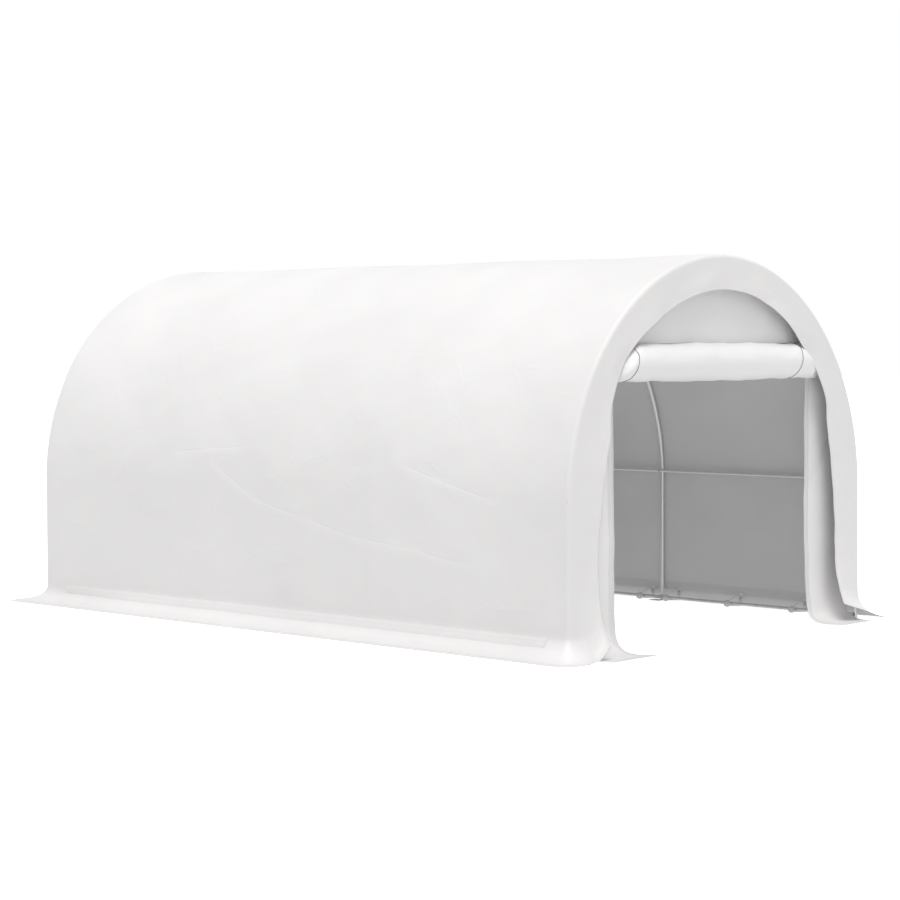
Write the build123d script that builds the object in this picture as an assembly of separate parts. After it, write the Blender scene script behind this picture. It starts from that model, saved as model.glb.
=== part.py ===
"""Round-topped carport tent: a steel tube frame under one cloth cover, with a rolled-up door.

Row frame, millimetres: X runs across the tent, Y along it with the open front at -Y, Z up.
The origin is on the ground in the middle of the footprint.

The frame is a row of hoops. Each hoop is two straight legs, two haunch tubes and a crown tube,
pushed together at swaged ends. Rails run along the ground, above the legs and under the ridge,
on the inner side of the hoops. The cover is drawn over the hoops, turned in as a flat band at
both ends and turned out as a skirt on the ground. The end walls hang a little way inside it.
"""

import math
import os

from build123d import *

# ---------------------------------------------------------------- driving dimensions
width = 3000            # over the side walls of the cover
length = 4920           # over the front and back bands
spring_height = 890     # where the straight side wall turns into the arch

hoop_count = 4
hoop_od = 28
hoop_wall = 1.2
haunch_angle = 60       # each haunch tube's share of the arch, in degrees
swage_length = 50       # how far one tube goes into the next
swage_shoulder = 5
swage_fit = 0.3         # radial gap inside a swaged joint

rail_od = 22
rail_wall = 1.0
ground_rail_height = 25
side_rail_rise = 40     # side rail above the spring line
rail_overhang = 10      # rail end beyond the end hoop's centre

foot_width = 75         # across the tent
foot_length = 90        # along the tent
foot_thickness = 3
foot_hole_r = 5
foot_hole_spacing = 48
foot_hole_reach = 42    # holes from the hoop's centre, towards the middle of the tent

cloth = 3               # modelled cloth; the real sheet is about 0.25 mm
slack = 1               # cover off the hoops
touch_gap = 0.3         # rail off the hoop that it is bolted to

skirt_width = 160       # side skirt beyond the wall
skirt_reach = 130       # skirt beyond the front and back bands
skirt_corner = 60       # radius of the skirt's outer corners
skirt_return = 60       # how far the bands' hem lies over the side skirt
band_crown = 220        # depth of the turned-in band at the ridge
band_leg = 275          # and beside the legs

wall_setback = 88       # outer face of an end wall behind its band
wall_edge_gap = 3       # end wall off the cover
rail_hole_gap = 3       # end wall off the rails that pass through it
flap_reach = 268        # ground flap in front of an end wall
flap_side_gap = 20      # flap short of the side wall
plate_gap = 1           # flap off the foot plate

door_width = 1980
door_corner_cloth = 162  # cloth left between the doorway's upper corner and the arch
roll_radius = 112
roll_overlap = 60       # roll past each side of the doorway
roll_end_flat = 5       # the ends are this much lower than the middle, half on each side
roll_forward = 28       # roll's centre in front of the end wall's face
roll_side_gap = 10      # end wall off the roll's ends and top
roll_under_gap = 8      # end wall off the roll's underside
roll_band_gap = 5       # roll off the back of the band
tie_inset = 8           # tie cord from the end of the roll's round middle
tie_cord = 3

bungee_ball_r = 17
bungee_ball_drop = 4    # ball's centre below the rail's
bungee_cord = 5
bungee_turn = 50        # loop's slant along the tent, in degrees
bungee_rise = 55        # top of the loop above the rail's centre
bungee_bend_r = 9
bungee_cover_gap = 3    # loop short of the cover
bungees_per_bay = 3
bungee_first = 441      # first bungee from an end hoop's centre
bungee_hoop_gap = 92    # last one of an end bay, off the next hoop
bungee_foot_gap = 56    # first and last one of a middle bay, off the foot plates

# ---------------------------------------------------------------- derived places
arch_radius = width / 2
half_length = length / 2
cover_inner = arch_radius - cloth
hoop_radius = cover_inner - slack - hoop_od / 2
hoop_end = half_length - cloth - slack - hoop_od / 2
hoop_pitch = 2 * hoop_end / (hoop_count - 1)
hoop_places = [-hoop_end + i * hoop_pitch for i in range(hoop_count)]
rail_radius = hoop_radius - hoop_od / 2 - touch_gap - rail_od / 2
side_rail_x = math.sqrt(rail_radius**2 - side_rail_rise**2)
side_rail_height = spring_height + side_rail_rise
ridge_rail_height = spring_height + rail_radius
wall_face = half_length - wall_setback
wall_radius = cover_inner - wall_edge_gap
head_height = spring_height + math.sqrt(wall_radius**2 - (door_width / 2)**2) - door_corner_cloth
roll_length = door_width + 2 * roll_overlap
roll_y = -(wall_face + roll_forward)
roll_z = head_height - roll_side_gap - roll_radius
roll_end_depth = wall_setback - cloth - roll_forward - roll_band_gap
door_height = roll_z - roll_radius - roll_under_gap
pocket_half = roll_length / 2 + roll_side_gap
band_opening_x = arch_radius - band_leg
band_opening_z = arch_radius - band_crown
roll_top_rise = (roll_z + roll_radius - spring_height) / band_opening_z
roll_round_half = band_opening_x * math.sqrt(1 - roll_top_rise**2) - roll_band_gap
skirt_end = half_length + skirt_reach
flap_end = wall_face + flap_reach
foot_inner_x = cover_inner - slack - foot_width


# ---------------------------------------------------------------- helpers
def block(x0, x1, y0, y1, z0, z1):
    """A box between two corners."""
    centre = ((x0 + x1) / 2, (y0 + y1) / 2, (z0 + z1) / 2)
    return Pos(*centre) * Box(x1 - x0, y1 - y0, z1 - z0)


def mirrored_x(shape):
    return mirror(shape, about=Plane.YZ)


def mirrored_y(shape):
    return mirror(shape, about=Plane.XZ)


def ring(od, wall):
    """The section of a round tube."""
    return Circle(od / 2) - Circle(od / 2 - wall)


def swage(od, wall):
    """Outer diameter of the reduced end that fits in a tube's bore."""
    return od - 2 * wall - 2 * swage_fit


def upright(section, x, y, z0, z1):
    return extrude(Plane((x, y, z0)) * section, z1 - z0)


def along_y(section, x, z, y0, y1):
    plane = Plane(origin=(x, y0, z), x_dir=(1, 0, 0), z_dir=(0, 1, 0))
    return extrude(plane * section, y1 - y0)


def around_arch(section, y, start, sweep_angle):
    """A section carried round the arch from an angle above the right-hand spring line."""
    sketch = Plane((hoop_radius, y, spring_height)) * section
    axis = Axis((0, y, spring_height), (0, -1, 0))
    bent = revolve(sketch, axis, sweep_angle)
    return bent.rotate(axis, start)


def end_face(radius, bottom):
    """The tent's end outline: straight legs under a half circle, in the XZ plane."""
    legs = Pos(0, (spring_height + bottom) / 2) * Rectangle(2 * radius, spring_height - bottom)
    upper_half = Pos(0, radius / 2) * Rectangle(2 * radius, radius)
    return legs + Pos(0, spring_height) * (Circle(radius) & upper_half)


def sheet_xz(sketch, y0, y1):
    """A sketch drawn in X and Z, given thickness along Y."""
    plane = Plane(origin=(0, y1, 0), x_dir=(1, 0, 0), z_dir=(0, -1, 0))
    return extrude(plane * sketch, y1 - y0)


def save(name, *solids):
    shape = solids[0] if len(solids) == 1 else Compound(children=list(solids))
    export_step(shape, f"parts/{name}.step")


# ---------------------------------------------------------------- frame
def leg(y):
    return upright(ring(hoop_od, hoop_wall), hoop_radius, y, foot_thickness, spring_height)


def haunch(y):
    """Right-hand haunch tube, with swaged ends that go down into the leg and up into the crown."""
    male_od = swage(hoop_od, hoop_wall)
    male = ring(male_od, hoop_wall)
    collar = Circle(hoop_od / 2) - Circle(male_od / 2 - hoop_wall)
    shoulder = math.degrees(swage_shoulder / hoop_radius)
    reach = math.degrees(swage_length / hoop_radius)
    tube = around_arch(ring(hoop_od, hoop_wall), y, 0, haunch_angle)
    tube += around_arch(collar, y, 0, shoulder)
    tube += around_arch(collar, y, haunch_angle - shoulder, shoulder)
    tube += around_arch(male, y, haunch_angle, reach)
    tube += upright(male, hoop_radius, y, spring_height - swage_length, spring_height)
    return tube


def crown(y):
    return around_arch(ring(hoop_od, hoop_wall), y, haunch_angle, 180 - 2 * haunch_angle)


def rail(x, z):
    """One line of tubes from the front hoop to the back one, each swaged into the next."""
    male_od = swage(rail_od, rail_wall)
    male = ring(male_od, rail_wall)
    collar = Circle(rail_od / 2) - Circle(male_od / 2 - rail_wall)
    tubes = []
    for i in range(hoop_count - 1):
        y0 = hoop_places[i] - (rail_overhang if i == 0 else 0)
        last = i == hoop_count - 2
        y1 = hoop_places[i + 1] + (rail_overhang if last else -touch_gap)
        tube = along_y(ring(rail_od, rail_wall), x, z, y0, y1)
        if not last:
            tube += along_y(collar, x, z, y1 - swage_shoulder, y1)
            tube += along_y(male, x, z, y1, y1 + swage_length)
        tubes.append(tube)
    return tubes


def foot(y):
    """Foot plate with two anchor holes, and the stub that the leg stands on."""
    inward = -1 if y > 0 else 1
    outer = y - inward * hoop_od / 2
    plate = block(foot_inner_x, foot_inner_x + foot_width, *sorted((outer, outer + inward * foot_length)),
                  0, foot_thickness)
    middle = foot_inner_x + foot_width / 2
    for side in (-1, 1):
        hole_x = middle + side * foot_hole_spacing / 2
        plate -= Pos(hole_x, y + inward * foot_hole_reach, 0) * Cylinder(foot_hole_r, 4 * foot_thickness)
    stub = ring(swage(hoop_od, hoop_wall), hoop_wall)
    return plate + upright(stub, hoop_radius, y, foot_thickness, foot_thickness + swage_length)


def bungee_places():
    """Where the ball bungees tie the cover to a ground rail, evenly spaced in each bay."""
    near_foot = foot_length - hoop_od / 2 + bungee_foot_gap
    near_hoop = hoop_od / 2 + bungee_hoop_gap
    margins = [(near_foot, near_foot)] * (hoop_count - 1)
    margins[0] = (bungee_first, near_hoop)
    margins[-1] = (near_hoop, bungee_first)
    places = []
    for bay_start, (front_margin, back_margin) in zip(hoop_places, margins):
        step = (hoop_pitch - front_margin - back_margin) / (bungees_per_bay - 1)
        places += [bay_start + front_margin + i * step for i in range(bungees_per_bay)]
    return places


def bungee(y):
    """A ball on an elastic loop that goes round the right-hand ground rail and up to the cover."""
    turn = math.radians(bungee_turn)
    loop_plane = Plane(origin=(rail_radius, y, ground_rail_height),
                       x_dir=(math.cos(turn), -math.sin(turn), 0),
                       z_dir=(-math.sin(turn), -math.cos(turn), 0))
    clear = bungee_cord / 2 + touch_gap
    under = -rail_od / 2 - clear
    ball_reach = (rail_od / 2 + bungee_ball_r + touch_gap) / math.cos(turn)
    inner = bungee_ball_r / 2 - ball_reach
    outer = (cover_inner - rail_radius) / math.cos(turn) - bungee_cord / 2 - bungee_cover_gap
    corners = [
        (inner, under),
        (outer, under),
        (outer, bungee_rise * 2 / 3),
        (outer / 3, bungee_rise),
        (inner, -under),
    ]
    path = loop_plane * FilletPolyline(*corners, radius=bungee_bend_r, close=True)
    start = path.edges().sort_by(Axis.Z)[0]
    section = Plane(origin=start @ 0.5, z_dir=start % 0.5) * Circle(bungee_cord / 2)
    loop = sweep(section, path=path)
    ball_centre = loop_plane.from_local_coords(Vector(-ball_reach, -bungee_ball_drop, 0))
    return loop + Pos(*ball_centre) * Sphere(bungee_ball_r)


# ---------------------------------------------------------------- cover
def cover_wall():
    return block(cover_inner, arch_radius, -half_length + cloth, half_length - cloth,
                 cloth, spring_height)


def cover_strip(start, sweep_angle):
    """A strip of the arched cover, from an angle above the right-hand spring line."""
    y0 = -half_length + cloth
    profile = Rectangle(cloth, length - 2 * cloth)
    middle = arch_radius - cloth / 2
    sketch = Plane((middle, y0 + length / 2 - cloth, spring_height)) * profile
    axis = Axis((0, 0, spring_height), (0, -1, 0))
    return revolve(sketch, axis, sweep_angle).rotate(axis, start)


def band():
    """The front edge of the cover, turned in flat across the end of the tent."""
    opening = Pos(0, spring_height / 2) * Rectangle(2 * band_opening_x, spring_height)
    opening += Pos(0, spring_height) * Ellipse(band_opening_x, band_opening_z)
    face = end_face(arch_radius, 2 * cloth) - opening
    return sheet_xz(face, -half_length, -half_length + cloth)


def skirt():
    """Right-hand skirt on the ground, with the bands' hems that lie over it at both ends."""
    outer = arch_radius + skirt_width
    strip = block(cover_inner, outer, -skirt_end, skirt_end, 0, cloth)
    corners = strip.edges().filter_by(Axis.Z).sort_by(Axis.X)[-2:]
    strip = fillet(corners, skirt_corner)
    hem = block(arch_radius - band_leg, arch_radius + skirt_return,
                -skirt_end, -half_length + cloth, cloth, 2 * cloth)
    return strip + hem + mirrored_y(hem)


# ---------------------------------------------------------------- end walls and door
def rail_holes():
    """Where the rails go through an end wall."""
    hole = Circle(rail_od / 2 + rail_hole_gap)
    places = [(0, ridge_rail_height)]
    for side in (-1, 1):
        places += [(side * rail_radius, ground_rail_height), (side * side_rail_x, side_rail_height)]
    return Sketch() + [Pos(*p) * hole for p in places]


def wall_slab(face):
    """An end wall's face as a sheet behind the front band."""
    return sheet_xz(face, -wall_face, -wall_face + cloth)


def whole_wall_face():
    return end_face(wall_radius, cloth) - rail_holes()


def front_wall_side():
    """The right-hand strip beside the doorway, cut back round the end of the roll."""
    right = Pos(width, head_height / 2) * Rectangle(2 * width - door_width, head_height)
    pocket = Pos(0, (door_height + head_height) / 2)
    pocket *= Rectangle(2 * pocket_half, head_height - door_height)
    return wall_slab(whole_wall_face() & right - pocket)


def front_gable():
    above = Pos(0, head_height + arch_radius) * Rectangle(2 * width, 2 * arch_radius)
    return wall_slab(whole_wall_face() & above)


def front_flap():
    """The right-hand strip's flap, turned out over the ground and cut round the foot plate."""
    flap = block(door_width / 2, wall_radius - flap_side_gap, -flap_end, -wall_face + cloth,
                 0, cloth)
    plate = block(foot_inner_x - plate_gap, arch_radius, -half_length, -wall_face + cloth + plate_gap,
                  -cloth, 2 * cloth)
    return flap - plate


def back_flap():
    reach = foot_inner_x - plate_gap
    return block(-reach, reach, wall_face - cloth, flap_end, 0, cloth)


def door_roll():
    """The door, rolled up under the gable, with flattened ends that tuck in behind the band."""
    across = Plane(origin=(0, roll_y, roll_z), x_dir=(0, 1, 0), z_dir=(1, 0, 0))
    ends = across * Ellipse(roll_end_depth, roll_radius - roll_end_flat)
    roll = extrude(across * Circle(roll_radius), roll_round_half, both=True)
    return roll + extrude(ends, roll_length / 2, both=True)


def door_tie(side):
    x = side * (roll_round_half - tie_inset)
    radius = roll_radius + tie_cord / 2 + touch_gap
    return Pos(x, roll_y, roll_z) * Rot(0, 90, 0) * Torus(radius, tie_cord / 2)


# ---------------------------------------------------------------- write the parts
def main():
    os.makedirs("parts", exist_ok=True)

    legs = [leg(y) for y in hoop_places]
    feet = [foot(y) for y in hoop_places]
    bungees = [bungee(y) for y in bungee_places()]
    ground_rails = rail(rail_radius, ground_rail_height)
    side_rails = rail(side_rail_x, side_rail_height)
    for name, solids in (("legs", legs), ("foot_plates", feet), ("bungees", bungees),
                         ("ground_rail", ground_rails), ("side_rail", side_rails)):
        save(f"{name}_right", *solids)
        save(f"{name}_left", *[mirrored_x(s) for s in solids])
    save("ridge_rail", *rail(0, ridge_rail_height))

    for i, y in enumerate(hoop_places, start=1):
        side = haunch(y)
        save(f"hoop_{i}_haunch_right", side)
        save(f"hoop_{i}_haunch_left", mirrored_x(side))
        save(f"hoop_{i}_crown", crown(y))

    for name, solid in (("cover_wall", cover_wall()), ("cover_haunch", cover_strip(0, haunch_angle)),
                        ("skirt", skirt()), ("front_wall", front_wall_side()),
                        ("front_flap", front_flap())):
        save(f"{name}_right", solid)
        save(f"{name}_left", mirrored_x(solid))
    save("cover_crown", cover_strip(haunch_angle, 180 - 2 * haunch_angle))
    save("front_band", band())
    save("back_band", mirrored_y(band()))
    save("front_gable", front_gable())
    save("back_wall", mirrored_y(wall_slab(whole_wall_face())))
    save("back_flap", back_flap())
    save("door_roll", door_roll())
    save("door_ties", door_tie(-1), door_tie(1))


main()
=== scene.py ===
# %% [markdown]
# # A round-topped carport tent
# The real tent is a row of steel tube hoops with one white cloth drawn over them. The cloth
# turns in as a flat band at both ends and turns out as a skirt on the ground. The doorway's
# own cloth is rolled up under the gable and tied.
# The tubes, rails and foot plates are already right in the CAD model, so they only get a
# finish here. Every cloth piece and every cord was a plain stand-in there, and is made again.

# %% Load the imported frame
import math

import bmesh
import bpy
import numpy as np
from mathutils import Matrix, Vector


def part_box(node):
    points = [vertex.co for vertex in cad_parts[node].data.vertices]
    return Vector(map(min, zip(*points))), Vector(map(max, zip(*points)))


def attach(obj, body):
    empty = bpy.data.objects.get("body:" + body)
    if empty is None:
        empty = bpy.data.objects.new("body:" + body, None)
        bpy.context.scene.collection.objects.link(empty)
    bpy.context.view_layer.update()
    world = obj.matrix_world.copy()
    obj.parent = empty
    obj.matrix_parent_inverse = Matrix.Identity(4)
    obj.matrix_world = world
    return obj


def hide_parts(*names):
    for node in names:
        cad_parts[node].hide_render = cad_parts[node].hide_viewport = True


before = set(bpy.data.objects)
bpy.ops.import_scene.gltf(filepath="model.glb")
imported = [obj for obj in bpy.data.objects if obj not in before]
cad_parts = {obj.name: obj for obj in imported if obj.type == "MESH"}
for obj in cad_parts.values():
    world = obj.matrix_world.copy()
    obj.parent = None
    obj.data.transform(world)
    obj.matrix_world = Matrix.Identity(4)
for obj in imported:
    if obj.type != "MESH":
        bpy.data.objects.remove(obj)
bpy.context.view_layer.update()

# %% [markdown]
# ## Camera
# The camera comes first, so that every later choice can be judged through it. It stands well
# back with a long lens, at a standing person's eye height, and looks at the front left corner.
# Turning is done with three simple rotations: round the upright axis, then down, then a small
# lean about the line of sight.

# %% Camera
FOCAL_MM, SENSOR_MM = 93.36, 36
CAMERA_AT = (-11.714, -11.112, 1.852)
SWUNG, TIPPED, LEANED = (math.radians(degrees) for degrees in (46.826, 2.643, -0.227))

camera_data = bpy.data.cameras.new("camera")
camera_data.sensor_width = SENSOR_MM
camera_data.lens = FOCAL_MM
camera_data.clip_end = 500
camera = bpy.data.objects.new("camera", camera_data)
bpy.context.scene.collection.objects.link(camera)
bpy.context.scene.camera = camera

camera.matrix_world = (
    Matrix.Translation(CAMERA_AT)
    @ Matrix.Rotation(-SWUNG, 4, "Z")
    @ Matrix.Rotation(math.pi / 2 - TIPPED, 4, "X")
    @ Matrix.Rotation(LEANED, 4, "Z")
)
print("camera at", [round(v, 2) for v in camera.matrix_world.translation])

# %% [markdown]
# ## Sizes read from the frame
# The cloth has to fit the frame, so its main sizes are read from the CAD pieces. What belongs to
# the cloth alone, such as where a crease lies or how far a loose corner swings out, is given in
# the later steps.

# %% Sizes
def middle(node, way):
    """The middle of a CAD node's box along one axis."""
    return sum(getattr(corner, way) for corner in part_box(node)) / 2


def half_size(node, way):
    """Half the length of a CAD node's box along one axis."""
    low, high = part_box(node)
    return (getattr(high, way) - getattr(low, way)) / 2


wall_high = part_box("cover_wall_right")[1]
strip_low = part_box("front_wall_right")[0]
roll_low, roll_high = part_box("door_roll")
gable_low, gable_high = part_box("front_gable")

ARCH_R = wall_high.x                       # outer face of the cover
SPRING = wall_high.z                       # where the straight wall turns into the arch
END = -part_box("front_band")[0].y           # outer face of the bands, from the middle
SKIRT_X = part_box("skirt_right")[1].x       # outer hem of the side skirts
FLAP_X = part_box("front_flap_right")[1].x   # side edge of the front flaps
WALL_Y = -strip_low.y                      # outer face of the end walls
WALL_R = gable_high.z - SPRING             # end walls' outline
DOOR_X = strip_low.x                       # half the doorway's width
HEAD = gable_low.z - 0.008                 # lower edge of the gable, just touching the roll
ROLL = (roll_low + roll_high) / 2          # the rolled door's middle
ROLL_R = (roll_high.z - roll_low.z) / 2
ROLL_HALF = roll_high.x
HOOPS = [middle(f"hoop_{i}_crown", "y") for i in (1, 2, 3, 4)]
RAIL_X, RAIL_Z = middle("side_rail_right", "x"), middle("side_rail_right", "z")
GROUND_RAIL_X, GROUND_RAIL_Z = middle("ground_rail_right", "x"), middle("ground_rail_right", "z")
RAIL_R = half_size("ridge_rail", "z")
HOOP_X, HOOP_R = middle("legs_right", "x"), half_size("legs_right", "x")
print("arch radius", round(ARCH_R, 3), "spring", round(SPRING, 3))
print("hoops at", [round(y, 3) for y in HOOPS])

# %% [markdown]
# ## Making meshes from grids
# A sheet of cloth is a grid: rows one way, columns the other. If the place of every grid point
# comes from one formula, the same formula can later tell where a hem, a stitch or an eyelet
# goes. So every sheet here is a formula first and a mesh second. The grid's UV map is in metres
# of cloth, which lets the weave run straight along the cloth wherever it bends.

# %% Grid to mesh
def new_piece(name, points, faces, uvs=None, smooth=True):
    """A mesh object from arrays: points (n, 3), faces (m, 4 or 3) and one uv for each point."""
    mesh = bpy.data.meshes.new(name)
    points, faces = np.asarray(points, np.float32), np.asarray(faces, np.int32)
    count, sides = faces.shape
    mesh.vertices.add(len(points))
    mesh.vertices.foreach_set("co", points.ravel())
    mesh.loops.add(count * sides)
    mesh.loops.foreach_set("vertex_index", faces.ravel())
    mesh.polygons.add(count)
    mesh.polygons.foreach_set("loop_start", np.arange(0, count * sides, sides, dtype=np.int32))
    mesh.polygons.foreach_set("use_smooth", np.full(count, smooth))
    if uvs is not None:
        layer = mesh.uv_layers.new(name="cloth_metres")
        layer.data.foreach_set("uv", np.asarray(uvs, np.float32)[faces.ravel()].ravel())
    mesh.update(calc_edges=True)
    mesh.validate()
    piece = bpy.data.objects.new(name, mesh)
    bpy.context.scene.collection.objects.link(piece)
    return piece


def grid_faces(rows, columns, keep=None, start=0):
    """Quads of a rows by columns grid of points. keep masks the (rows-1, columns-1) quads."""
    corner = start + np.arange(rows * columns).reshape(rows, columns)
    quads = np.stack([corner[:-1, :-1], corner[1:, :-1], corner[1:, 1:], corner[:-1, 1:]], axis=-1)
    return quads.reshape(-1, 4) if keep is None else quads[keep]


def drop_loose(points, faces, uvs):
    """Leaves out the points that no face uses."""
    used, renumbered = np.unique(faces, return_inverse=True)
    return points[used], renumbered.reshape(faces.shape), uvs[used]


def dress(piece, material, slot, *nodes):
    """A piece's finish, the body it rides on, and the CAD nodes that it stands for."""
    piece.data.materials.clear()
    piece.data.materials.append(material)
    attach(piece, "root")
    if nodes:
        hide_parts(*nodes)
    return piece


# %% [markdown]
# ## Where the cloth leaves its plain shape
# Real cloth is never a perfect cylinder. It sags a little between the hoops, billows slowly,
# and keeps the creases of its packing. The slow billows are a sum of a few long sine waves
# in different directions, which is smooth, cheap and the same in every run. The creases
# are written down as short lines on the wall, because a fold is a thing with a place.

# %% Billows and creases
def billow(seed, u, v, longest, shortest, waves=9):
    """A slow, smooth unevenness of about -1 to 1 over (u, v), in metres of cloth."""
    dice = np.random.default_rng(seed)
    total = 0
    for _ in range(waves):
        length = math.exp(dice.uniform(math.log(shortest), math.log(longest)))
        heading, phase = dice.uniform(0, math.tau, 2)
        along = u * math.cos(heading) + v * math.sin(heading)
        total = total + np.sin(math.tau * along / length + phase)
    return total / math.sqrt(waves)


def smooth_step(x):
    """0 below 0, 1 above 1, and a soft rise between."""
    x = np.clip(x, 0, 1)
    return x * x * (3 - 2 * x)


def line_distance(u, v, ends):
    """How far (u, v) is from a straight line between two ends, and on which side."""
    (u0, v0), (u1, v1) = ends
    run_u, run_v = u1 - u0, v1 - v0
    length = math.hypot(run_u, run_v)
    share = np.clip(((u - u0) * run_u + (v - v0) * run_v) / length**2, 0, 1)
    side = ((u - u0) * run_v - (v - v0) * run_u) / length
    far = np.hypot(u - u0 - share * run_u, v - v0 - share * run_v)
    return far, side, share


def round_to(x, z):
    """Cloth metres from the ridge to a place (x, z) seen from the end."""
    if z <= SPRING:
        return math.copysign(ARCH_R * math.pi / 2 + SPRING - z, x)
    return ARCH_R * math.atan2(x, z - SPRING)


def on_wall(y, z):
    """A place on the left wall or haunch as (round, along)."""
    return (round_to(-math.sqrt(max(ARCH_R**2 - max(z - SPRING, 0) ** 2, 0)), z), y)


def on_band(x, z):
    """A place on the front band as (round, along)."""
    inward = ARCH_R - (abs(x) if z <= SPRING else math.hypot(x, z - SPRING))
    return (round_to(x, z), -(END + 0.015 + inward))


# Each fold is a string of (y, z) places on the left side, with its depth in millimetres.
LEFT_FOLDS = [
    ([(0.62, 1.04), (0.21, 0.83), (-0.25, 0.73), (-0.67, 0.64), (-1.24, 0.585), (-1.66, 0.515)], 5.5),
    ([(1.03, 1.12), (0.68, 1.15), (0.30, 1.18)], 4.0),
    ([(0.11, 0.81), (-0.22, 1.07), (-0.45, 1.14)], -3.5),
    ([(0.54, 0.87), (0.70, 0.69), (0.87, 0.46), (1.08, 0.27)], -3.5),
    ([(1.57, 1.16), (1.64, 1.04), (1.59, 0.96), (1.90, 0.71)], 3.5),
    ([(0.10, 0.48), (-0.19, 0.44), (0.29, 0.35)], 3.0),
    ([(2.43, 0.98), (2.28, 0.91)], -4.0),
    ([(-1.12, 1.10), (-1.42, 1.02), (-1.88, 0.91)], 6.0),
    ([(-0.66, 1.09), (-0.77, 1.07)], 3.0),
    ([(-0.39, 1.46), (-0.31, 1.27)], -2.5),
    ([(-2.01, 0.54), (-1.95, 0.44)], 3.0),
    ([(-1.80, 0.30), (-1.89, 0.35), (-1.98, 0.29)], 3.0),
]
# The sides nobody looks at first are creased in the same manner, as (cloth metres, y) places.
OTHER_FOLDS = [
    ([(2.55, 1.70), (2.75, 0.90), (2.86, 0.20)], 5.0),
    ([(2.30, -0.30), (2.62, -0.85), (2.70, -1.60)], 5.0),
    ([(2.80, 2.20), (2.45, 1.95)], -3.5),
    ([(2.95, -1.10), (2.70, -1.95)], 3.5),
    ([(1.10, 0.40), (0.72, -0.20), (0.60, -0.75)], 3.0),
    ([(-0.95, 1.45), (-0.60, 0.95)], 3.0),
    ([(0.30, 1.90), (0.85, 1.50)], -3.0),
    ([(-1.30, -1.50), (-0.90, -1.95)], 2.5),
]
# The front band's folds, as (x, z) places.
BAND_FOLDS = [
    ([(-1.25, 0.98), (-1.45, 0.85)], 3.5),
    ([(-1.25, 0.64), (-1.47, 0.51)], 3.5),
    ([(-1.40, 1.23), (-1.33, 1.09)], 2.0),
    ([(-1.02, 1.92), (-0.93, 1.80)], 2.0),
    ([(1.29, 1.48), (1.40, 1.485)], 2.5),
    ([(1.25, 0.90), (1.44, 1.12)], 3.0),
    ([(1.27, 0.52), (1.45, 0.70)], 3.0),
]
WALL_STRINGS = [([on_wall(y, z) for y, z in string], depth) for string, depth in LEFT_FOLDS]
BAND_STRINGS = [([on_band(x, z) for x, z in string], depth) for string, depth in BAND_FOLDS]
FOLDS = WALL_STRINGS + BAND_STRINGS + OTHER_FOLDS


FOLD_SHARE = 0.30        # how much of a fold's depth bends the mesh
FOLD_END, FOLD_SWELL = 0.015, 0.008      # its half width at its ends, and what its middle adds
LIP_REACH = 3.2          # how many half widths the raised lip reaches out


def fold_shape(far, side, width):
    """A valley of depth 1 with one raised lip, from line_distance's results."""
    lip = np.tanh(side / width) * np.exp(-((far / (LIP_REACH * width)) ** 2))
    return lip - np.exp(-((far / width) ** 2))


def folds(u, v):
    """Height that the creases add to the cover, in metres."""
    total = np.zeros(np.broadcast(u, v).shape)
    for string, depth in FOLDS:
        for start, stop in zip(string[:-1], string[1:]):
            far, side, share = line_distance(u, v, (start, stop))
            width = FOLD_END + FOLD_SWELL * np.sin(math.pi * share)
            total += depth / 1000 * FOLD_SHARE * fold_shape(far, side, width)
    return total


print("fold strings:", len(FOLDS))

# %% [markdown]
# ## The cover
# The cover is one sheet. Going round the tent, a point on it is named by how far it is from the
# ridge along the cloth. Going along the tent, it is named by how far it is from the middle,
# past the rounded end and on over the band. Three things are added to that plain shape:
# the turned-in band, whose depth follows a flatter arch than the hoops; the skirt, a hollow
# curve that starts upright and ends flat on the ground; and the band's free corners, which
# swing out and up where nothing holds them.
# A hollow curve that leans on two straight lines is a superellipse with a small exponent. Its
# points bunch up at the ends, so they are respaced evenly along the curve before use.

# %% The cover's formula
EDGE_R = 0.026           # how softly the cloth turns round the end hoops
BODY = END - EDGE_R      # the straight part's half length
EDGE_ARC = EDGE_R * math.pi / 2
BAND_RUN = 0.25          # cloth metres that stand for the band, whose true depth varies
LOOSE_TOP = 0.45         # below this height the band's free edge is loose
FLARE_TOP = 0.14         # below this height the wall turns out into the skirt
QUARTER = ARCH_R * math.pi / 2
HANG = QUARTER + SPRING - LOOSE_TOP       # cloth from the ridge to the loose part
STRAIGHT = LOOSE_TOP - FLARE_TOP
SIDE_REACH = SKIRT_X - ARCH_R
FAN = 0.133              # metres of hem from the skirt's tip to the band
# Each end's left and right corners differ, as they do when a tent is put up by hand. In order:
# front left, front right, back left, back right.
CORNERS = {
    "reach": (0.130, 0.155, 0.285, 0.240),     # how far the skirt runs out past the band
    "square": (3.2, 6.0, 5.0, 5.0),            # how square its tip is
    "dip": (0.38, 0.0, 0.2, 0.2),              # how much of that reach is lost under the band
    "swing": (0.098, 0.078, 0.070, 0.080),     # how far the band's free corner swings out
    "lift": (0.082, 0.121, 0.090, 0.070),      # how high it stands off the ground
}
BAND_OPEN_X = ARCH_R - 0.275
BAND_OPEN_Z = ARCH_R - 0.220
LEFT_SLACK = 0.045       # how much wider the opening stands at the left haunch
SLACK_AT, SLACK_SPREAD = 1.25, 0.35        # where that is, in cloth metres from the ridge
DEEPER, DEEPER_FROM, DEEPER_OVER = 0.046, 1.60, 0.30       # the band is deeper down the walls
SLIMMER_LEFT, SLIMMER_RIGHT, SLIMMER_RISE = 0.052, 0.032, 0.2      # and slimmer near its feet
HOLLOWER = 1.8           # an exponent: above 1, the skirt is hollower than its plain curve
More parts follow.
